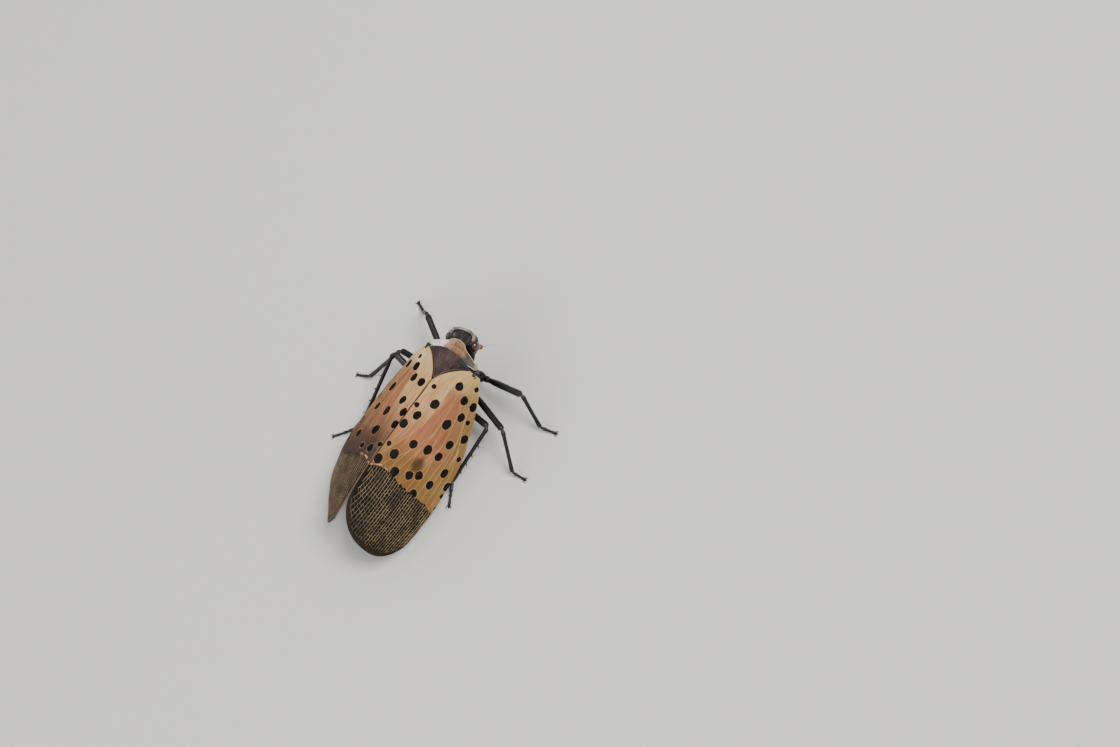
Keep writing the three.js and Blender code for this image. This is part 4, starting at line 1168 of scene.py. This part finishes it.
# the keels and the crown's rim, which carry the painted highlight
crest_highlight = np.maximum(keel, rim * smoothstep(-0.6, 0.2, np.cos(turn)))
suture = facing * bell(level - 3.3 - 0.5 * off, 0.16)
ribs = np.sin(26 * (height + 0.5 * np.abs(x)))
bulge = 0.13 * clypeus * np.maximum(0, 1 - offset**2) + 0.02 * clypeus * ribs
bowl = 0.12 * facing * smoothstep(4, 6, level) * (1 - smoothstep(8, 9, level))
bowl = bowl * np.maximum(0, 1 - (offset / 0.8) ** 2)
sockets = np.zeros(level.shape)
eye_ring = np.zeros(level.shape)
for side in (-1, 1):
    away = (rings - mirrored(EYE["place"], side)) / EYE["radii"]
    eye_ring += bell(np.linalg.norm(away, axis=-1) - 1.16, 0.09)
    away = np.linalg.norm(rings - mirrored(FEELER["place"], side), axis=-1)
    sockets += bell(away - 0.36, 0.08)
lift = 0.09 * keel + 0.07 * rim + bulge - bowl - 0.06 * suture + 0.06 * eye_ring + 0.06 * sockets
rings = raised(rings, lift)
hollow = smoothstep(9.8, 10.6, level)
rings[..., 2] -= hollow * (0.1 - 0.08 * bell(x, 0.06))
points, faces = loft(on_head(rings))
values = {
    "crest_highlight": capped(np.maximum(crest_highlight, 0.5 * eye_ring)),
    "brow": capped(smoothstep(8.6, 9.6, level), 0, 1),
    "face": capped(on_face),
    "pit": capped(np.clip(suture + hollow * bell(np.abs(x) - 0.5, 0.2), 0, 1)),
}
piece("head_skin", points, faces, head_paint(), ["head"], values)


# Eyes: large dark ovals of many fine facets, with a small bead of a simple eye below each.
def eye_paint():
    paint = Paint("eye", roughness=0.16, Specular_IOR_Level=0.6, Coat_Weight=0.6, Coat_Roughness=0.08)
    place = paint.place()
    cells = paint.cells(place, 26000.0)
    cloud = paint.noise(paint.stretched(place, (900.0, 900.0, 3200.0)), 1.0, 2.0)
    colour = paint.mix(cloud.ramp(0.35, 0.65), pigment(44, 22, 30), pigment(84, 48, 48))
    return paint.finish(colour, normal=paint.bump(1 - cells.ramp(0.0, 0.7), 0.000006, 0.5))


eye_material = eye_paint()
for side, word in SIDES:
    ball = ellipsoid(mirrored(EYE["place"], side), EYE["radii"], 72, 44)
    bead = ellipsoid(mirrored(SIMPLE_EYE["place"], side), SIMPLE_EYE["radius"], 20, 12)
    points, faces = merged([loft(on_head(ball)), loft(on_head(bead))])
    piece("compound_eye_" + word, points, faces, eye_material, ["eye_" + word])


# Feelers: a short dark stem, a round dull orange second joint with fine warts, and a thin bristle.
def feeler_paint():
    paint = Paint("feeler", roughness=0.45)
    place = paint.place()
    warts = paint.cells(place, 11000.0)
    colour = paint.mix(warts.ramp(0.1, 0.5), pigment(198, 118, 76), pigment(142, 62, 38))
    return paint.finish(colour, normal=paint.bump(1 - warts.ramp(0.0, 0.45), 0.00003, 0.8))


feeler_material = feeler_paint()
bristle_paint = cuticle_paint("bristle", pigment(18, 15, 15), pigment(60, 48, 44))


def tube(line, radii, sides):
    """The rings of a tube along a line of points, with its first side turned up."""
    line = np.asarray(line, float)
    tangents = np.gradient(line, axis=0)
    tangents /= np.linalg.norm(tangents, axis=1, keepdims=True)
    normal = np.array([0.0, 0.0, 1.0])
    turn = round_turn(sides)
    rings = []
    for point, tangent, radius in zip(line, tangents, np.broadcast_to(radii, len(line))):
        normal = unit(normal - tangent * (normal @ tangent))
        aside = np.cross(tangent, normal)
        rings.append(point + radius * (np.cos(turn)[:, None] * normal + np.sin(turn)[:, None] * aside))
    return np.array(rings)


for side, word in SIDES:
    root = mirrored(FEELER["place"], side)
    way = unit(mirrored(FEELER["way"], side))
    stem = tube([root - 0.25 * way, root + 0.05 * way, root + 0.2 * way], [0.19, 0.2, 0.17], 24)
    s = np.linspace(0.01, 0.99, 26)
    swell = FEELER["bulb"] * np.sqrt(1 - (2 * s - 1) ** 2) * (1 + 0.12 * (1 - s))
    bulb = tube(root + way * (0.06 + 0.54 * s[:, None]), swell, 32)
    points, faces = loft(on_head(bulb))
    piece("feeler_" + word, points, faces, feeler_material, ["antenna_" + word])
    points, faces = loft(on_head(stem))
    piece("feeler_stem_" + word, points, faces, body_paint, [], plain_values(points))
    s = np.linspace(0, 1, 30)[:, None]
    line = root + way * (0.56 + FEELER["length"] * s) + np.array([0, 0.1, -FEELER["droop"]]) * s**2
    thick = 0.05 * (1 - smoothstep(0, 0.12, s[:, 0])) + 0.016 * (1 - 0.7 * s[:, 0])
    strand_piece("feeler_bristle_" + word, [(on_head(line), thick)], bristle_paint, 8)


# Beak: a jointed sheath that runs back from the clypeus between the legs, grooved along its front.
BEAK_LINE = [
    (0.42, -1.72, 2.35), (0.36, -1.4, 1.75), (0.2, -0.55, 1.2), (0.05, 1.2, 1.0), (0, 3.2, 0.95),
    (0, 5.2, 0.9),
]
BEAK_RADIUS = profile([(0, 0.36), (0.1, 0.3), (0.3, 0.25), (0.62, 0.21), (0.95, 0.18), (1, 0.06)])
BEAK_JOINTS = (0.3, 0.62)
BEAK_ROWS = 160
BEAK_SIDES = 28


def smooth_line(points, count):
    """A smooth line through a few points, evenly spaced."""
    points = np.asarray(points, float)
    at = np.r_[0, np.cumsum(np.linalg.norm(np.diff(points, axis=0), axis=1))]
    fine = np.linspace(0, at[-1], 400)
    line = np.stack([profile(list(zip(at, axis)))(fine) for axis in points.T], axis=-1)
    run = np.r_[0, np.cumsum(np.linalg.norm(np.diff(line, axis=0), axis=1))]
    where = np.linspace(0, run[-1], count)
    return np.stack([np.interp(where, run, axis) for axis in line.T], axis=-1)


share = np.linspace(0, 1, BEAK_ROWS)
notch = sum(bell(share - at, 0.008) for at in BEAK_JOINTS)
sheath = tube(smooth_line(BEAK_LINE, BEAK_ROWS), BEAK_RADIUS(share) * (1 - 0.22 * notch), BEAK_SIDES)
furrow = bell(np.arange(BEAK_SIDES) - BEAK_SIDES / 2, 1.2)
points, faces = loft(raised(sheath, np.broadcast_to(-0.06 * furrow, sheath.shape[:2])))
joint = np.repeat(notch + 0.6 * smoothstep(0.93, 1, share), BEAK_SIDES)
values = {"joint": capped(joint), "crest_highlight": np.zeros(len(points))}
piece("beak", points, faces, body_paint, ["rostrum"], values)


# Legs: long, thin and glossy black, each one skin from the hip to the last joint of the foot, with
# sharp edges along the thigh and the shin and paler skin at the joints.
ANKLE_HEIGHT = 0.62
SOLE_HEIGHT = 0.1
HIP = {"reach": 1.3, "height": 2.1, "side": 2.95, "rise": 2.85}
LEG_SIDES = 24
LEG_EDGE = 0.035
LEGS = {
    "fore_right": {"root": 0.15, "knee": (-8.06, -0.19, 4.0), "ankle": (-10.4, 1.2), "toe": (-11.95, 0.85)},
    "mid_right": {"root": 2.2, "knee": (-8.71, 4.12, 4.4), "ankle": (-10.72, 6.84), "toe": (-12.05, 6.75)},
    "hind_right": {"root": 3.95, "knee": (-6.7, 4.49, 3.4), "ankle": (-5.65, 10.95), "toe": (-6.72, 13.3)},
    "fore_left": {"root": 0.15, "knee": (6.73, -2.43, 3.6), "ankle": (8.7, -2.95), "toe": (10.0, -3.55)},
    "mid_left": {"root": 2.2, "knee": (7.0, 2.34, 3.2), "ankle": (9.46, 6.12), "toe": (10.95, 6.6)},
    "hind_left": {"root": 4.0, "knee": (6.94, 3.08, 4.4), "ankle": (6.87, 11.3), "toe": (9.05, 13.6)},
}
BENDS = (0.6, 0.55, 0.3)


def leg_line(side, pose):
    """A leg's middle line, finely spaced, and how far along it the hip, knee and ankle lie."""
    corners = [
        (side * HIP["reach"], pose["root"] + 0.1, HIP["height"]),
        (side * HIP["side"], pose["root"], HIP["rise"]),
        pose["knee"],
        (*pose["ankle"], ANKLE_HEIGHT),
        (*pose["toe"], SOLE_HEIGHT),
    ]
    corners = [np.array(corner, float) for corner in corners]
    line, joints, start = [], [], corners[0]
    for i, bend in enumerate(BENDS, 1):
        enter = corners[i] + unit(corners[i - 1] - corners[i]) * bend
        leave = corners[i] + unit(corners[i + 1] - corners[i]) * bend
        line += list(start + (enter - start) * np.linspace(0, 1, 60, endpoint=False)[:, None])
        t = np.linspace(0, 1, 24, endpoint=False)[:, None]
        curve = (1 - t) ** 2 * enter + 2 * t * (1 - t) * corners[i] + t**2 * leave
        joints.append(len(line) + 12)
        line += list(curve)
        start = leave
    line += list(start + (corners[-1] - start) * np.linspace(0, 1, 60)[:, None])
    run = np.r_[0, np.cumsum(np.linalg.norm(np.diff(line, axis=0), axis=1))]
    return np.array(line), run, [run[i] for i in joints]


def leg_radius(hip, knee, ankle, toe):
    foot = toe - ankle
    pairs = [
        (0, 0.5), (hip * 0.45, 0.62), (hip * 0.8, 0.46), (hip - 0.06, 0.3), (hip + 0.12, 0.36),
        (hip + 0.42, 0.34), (hip + 0.6, 0.27), (hip + 0.95, 0.31), (hip + 2.0, 0.36),
        (knee - 1.4, 0.35), (knee - 0.5, 0.36),
        (knee - 0.2, 0.33), (knee - 0.05, 0.2), (knee + 0.06, 0.19), (knee + 0.3, 0.25), (knee + 0.8, 0.21),
        (ankle - 1.3, 0.2), (ankle - 0.4, 0.235), (ankle - 0.12, 0.21), (ankle, 0.12), (ankle + 0.1, 0.13),
        (ankle + foot * 0.36, 0.185), (ankle + foot * 0.42, 0.16), (ankle + foot * 0.45, 0.1),
        (ankle + foot * 0.5, 0.14), (ankle + foot * 0.62, 0.17), (ankle + foot * 0.66, 0.1),
        (ankle + foot * 0.72, 0.12), (ankle + foot * 0.95, 0.155), (toe, 0.1),
    ]
    return profile(pairs)


leg_paint = cuticle_paint("leg_cuticle", pigment(9, 9, 10), pigment(24, 23, 24), 0.34)
claw_paint = cuticle_paint("claw", pigment(30, 20, 16), pigment(84, 58, 40))
leg_skins = {}
for name, pose in LEGS.items():
    side = 1 if name.endswith("left") else -1
    line, run, (hip, knee, ankle) = leg_line(side, pose)
    toe = run[-1]
    at = np.linspace(0, toe, 330)
    middle = np.stack([np.interp(at, run, axis) for axis in line.T], axis=-1)
    turn = round_turn(LEG_SIDES)
    edged = smoothstep(hip + 0.7, hip + 1.4, at) * (1 - smoothstep(ankle - 0.5, ankle - 0.15, at))
    edged *= 1 - bell(at - knee, 0.3)
    wave = np.cos(3 * turn + 0.4)
    edge = np.maximum(wave, 0) ** 3 + 0.6 * np.maximum(-wave, 0) ** 3
    rings = tube(middle, leg_radius(hip, knee, ankle, toe)(at), LEG_SIDES)
    rings = raised(rings, LEG_EDGE * edged[:, None] * (edge[None, :] - 0.3))
    rings[..., 2] = np.maximum(rings[..., 2], 0.0)
    points, faces = loft(rings)
    soft = sum(bell(at - joint, 0.1) for joint in (hip, hip + 0.6, knee, ankle + 0.02))
    values = {
        "joint": capped(np.repeat(np.clip(soft, 0, 1), LEG_SIDES)),
        # the leg's sharp edges, for the painted highlight
        "crest_highlight": capped(edged[:, None] * edge[None, :]),
    }
    replaced = [part + "_" + name for part in ("femur", "tibia", "tarsus")]
    piece("leg_" + name, points, faces, leg_paint, replaced, values)
    leg_skins[name] = {"rings": rings, "middle": middle, "at": at, "marks": (hip, knee, ankle, toe)}


# Spines and claws: a row of stout spines on the outer edge of each hind shin, a crown of short ones
# at the end of every shin, and two hooked claws with a pad between them on each foot.
SHIN_SPINES = (0.3, 0.48, 0.64, 0.8)
SHIN_SPINE = (0.52, 0.1)
CROWN_SPINE = (0.26, 0.05)
FOOT_SPINE = (0.13, 0.035)
CLAW = {"length": 0.52, "curl": 1.9, "spread": 0.27, "radius": 0.062, "arch": 0.1, "hook": 0.075}
PAD = {"radii": (0.2, 0.13, 0.07), "ahead": 0.16, "height": 0.075}


def where(skin, distance):
    """The point of a leg's middle line at a distance along it."""
    return np.array([np.interp(distance, skin["at"], axis) for axis in skin["middle"].T])


def heading(skin, distance):
    return unit(where(skin, distance + 0.05) - where(skin, distance - 0.05))


def thorn(root, way, length, radius):
    s = np.linspace(0, 1, 9)
    return root + np.outer(s * length, unit(way)), radius * (1 - s) ** 0.8 + 0.006


for name, skin in leg_skins.items():
    side = 1 if name.endswith("left") else -1
    hip, knee, ankle, toe = skin["marks"]
    thorns = []
    if name.startswith("hind"):
        for share in SHIN_SPINES:
            distance = knee + (ankle - knee) * share
            tangent = heading(skin, distance)
            outward = np.cross([0, 0, 1], tangent)
            outward = unit(outward * np.sign(outward[0]) * side)
            root = where(skin, distance) + outward * 0.1
            thorns.append(thorn(root, outward + 0.8 * tangent, *SHIN_SPINE))
    tangent = heading(skin, ankle - 0.25)
    up = unit(np.array([0, 0, 1.0]) - tangent * tangent[2])
    aside = np.cross(tangent, up)
    for turn in np.linspace(-0.8, 0.8, 7) * math.pi:
        out = -up * math.cos(turn) + aside * math.sin(turn)
        thorns.append(thorn(where(skin, ankle - 0.2) + out * 0.13, out * 0.6 + tangent, *CROWN_SPINE))
    for share in (0.4, 0.63):
        distance = ankle + (toe - ankle) * share
        tangent = heading(skin, distance)
        for way in (-1, 1):
            out = np.cross([0, 0, 1.0], tangent) * way
            root = where(skin, distance) + out * 0.08 - [0, 0, 0.04]
            thorns.append(thorn(root, out * 0.5 + tangent, *FOOT_SPINE))
    strand_piece("spines_" + name, thorns, leg_paint, 8)
    end, tangent = where(skin, toe), heading(skin, toe - 0.1)
    tangent = unit(tangent * (1, 1, 0))
    aside = np.cross([0, 0, 1.0], tangent)
    hooks = []
    for way in (-1, 1):
        s = np.linspace(0, 1, 14)
        line = end - tangent * 0.1 + np.outer(s * CLAW["length"], tangent)
        line += np.outer(np.sin(s * CLAW["curl"]) * CLAW["spread"] * way, aside)
        line[:, 2] = SOLE_HEIGHT + CLAW["arch"] * np.sin(s * math.pi) - CLAW["hook"] * s**2
        hooks.append((line, CLAW["radius"] * (1 - s) ** 0.7 + 0.008))
    strand_piece("claws_" + name, hooks, claw_paint, 10)
    pad = ellipsoid((0, 0, 0), PAD["radii"], 24, 14)
    turned = end + tangent * PAD["ahead"] + pad[..., :1] * tangent + pad[..., 1:2] * aside
    turned[..., 2] = PAD["height"] + pad[..., 2]
    points, faces = loft(turned)
    piece("foot_pad_" + name, points, faces, claw_paint, [], plain_values(points))


# Bristles: short fine hairs that lean towards the tip of each leg and the rear of the body.
HAIR_RADIUS = 0.0075
HAIR_PATCH = 0.0015
HAIR_COUNT = {"leg": 520, "body": 900}
HAIR_LENGTH = {"leg": 0.15, "body": 0.16}
HAIRS_BELOW = 3.4


def bristles(name, rings, count, length, seed, below=math.inf):
    """Thin bent cones scattered over rings of points, as one mesh with a patch of map each."""
    draw = np.random.default_rng(seed)
    normals = surface_normals(rings)
    rows, sides = rings.shape[:2]
    i, j = draw.integers(1, rows - 1, count * 3), draw.integers(0, sides, count * 3)
    low = rings[i, j, 2] < below
    i, j = i[low][:count], j[low][:count]
    mixed = draw.uniform(0, 1, (len(i), 1))
    root = rings[i, j] * (1 - mixed) + rings[i, (j + 1) % sides] * mixed
    normal = normals[i, j]
    flow = rings[i + 1, j] - rings[i, j]
    flow /= np.maximum(np.linalg.norm(flow, axis=1, keepdims=True), 1e-9)
    aside = np.cross(normal, flow)
    size = length * draw.uniform(0.6, 1.25, (len(i), 1))
    lean = 0.8 + 0.3 * draw.uniform(-1, 1, (len(i), 1))
    tilt = flow * lean + aside * 0.25 * draw.uniform(-1, 1, (len(i), 1))
    middle = root + size * (0.4 * normal + 0.3 * tilt)
    tip = root + size * (0.55 * normal + 0.85 * tilt)
    ring_points = []
    for centre, wide in ((root - 0.02 * normal, HAIR_RADIUS), (middle, HAIR_RADIUS * 0.7)):
        for turn in round_turn(3):
            ring_points.append(centre + wide * (math.cos(turn) * flow + math.sin(turn) * aside))
    points = np.stack([*ring_points, tip], axis=1).reshape(-1, 3)
    cone = [(0, 1, 4, 3), (1, 2, 5, 4), (2, 0, 3, 5), (3, 4, 6), (4, 5, 6), (5, 3, 6), (2, 1, 0)]
    faces = [tuple(7 * k + v for v in face) for k in range(len(i)) for face in cone]
    patch = np.stack([i / rows, (j + mixed[:, 0]) / sides], axis=-1)
    corner = np.array([(-1, -1), (1, -1), (0, 1), (-0.6, -0.2), (0.6, -0.2), (0, 0.6), (0, 0)])
    uv = (patch[:, None, :] + corner[None] * HAIR_PATCH).reshape(-1, 2)
    piece(name, points, faces, hair_paint, [], plain_values(points), uv, "OFBake")


hair_paint = cuticle_paint("hair", pigment(40, 34, 32), pigment(96, 82, 70), 0.45)
for seed, (name, skin) in enumerate(leg_skins.items()):
    first = int(np.searchsorted(skin["at"], skin["marks"][0] + 0.5))
    bristles("hairs_" + name, skin["rings"][first:], HAIR_COUNT["leg"], HAIR_LENGTH["leg"], seed)
bristles("hairs_body", abdomen_rings, HAIR_COUNT["body"], HAIR_LENGTH["body"], 21, HAIRS_BELOW)
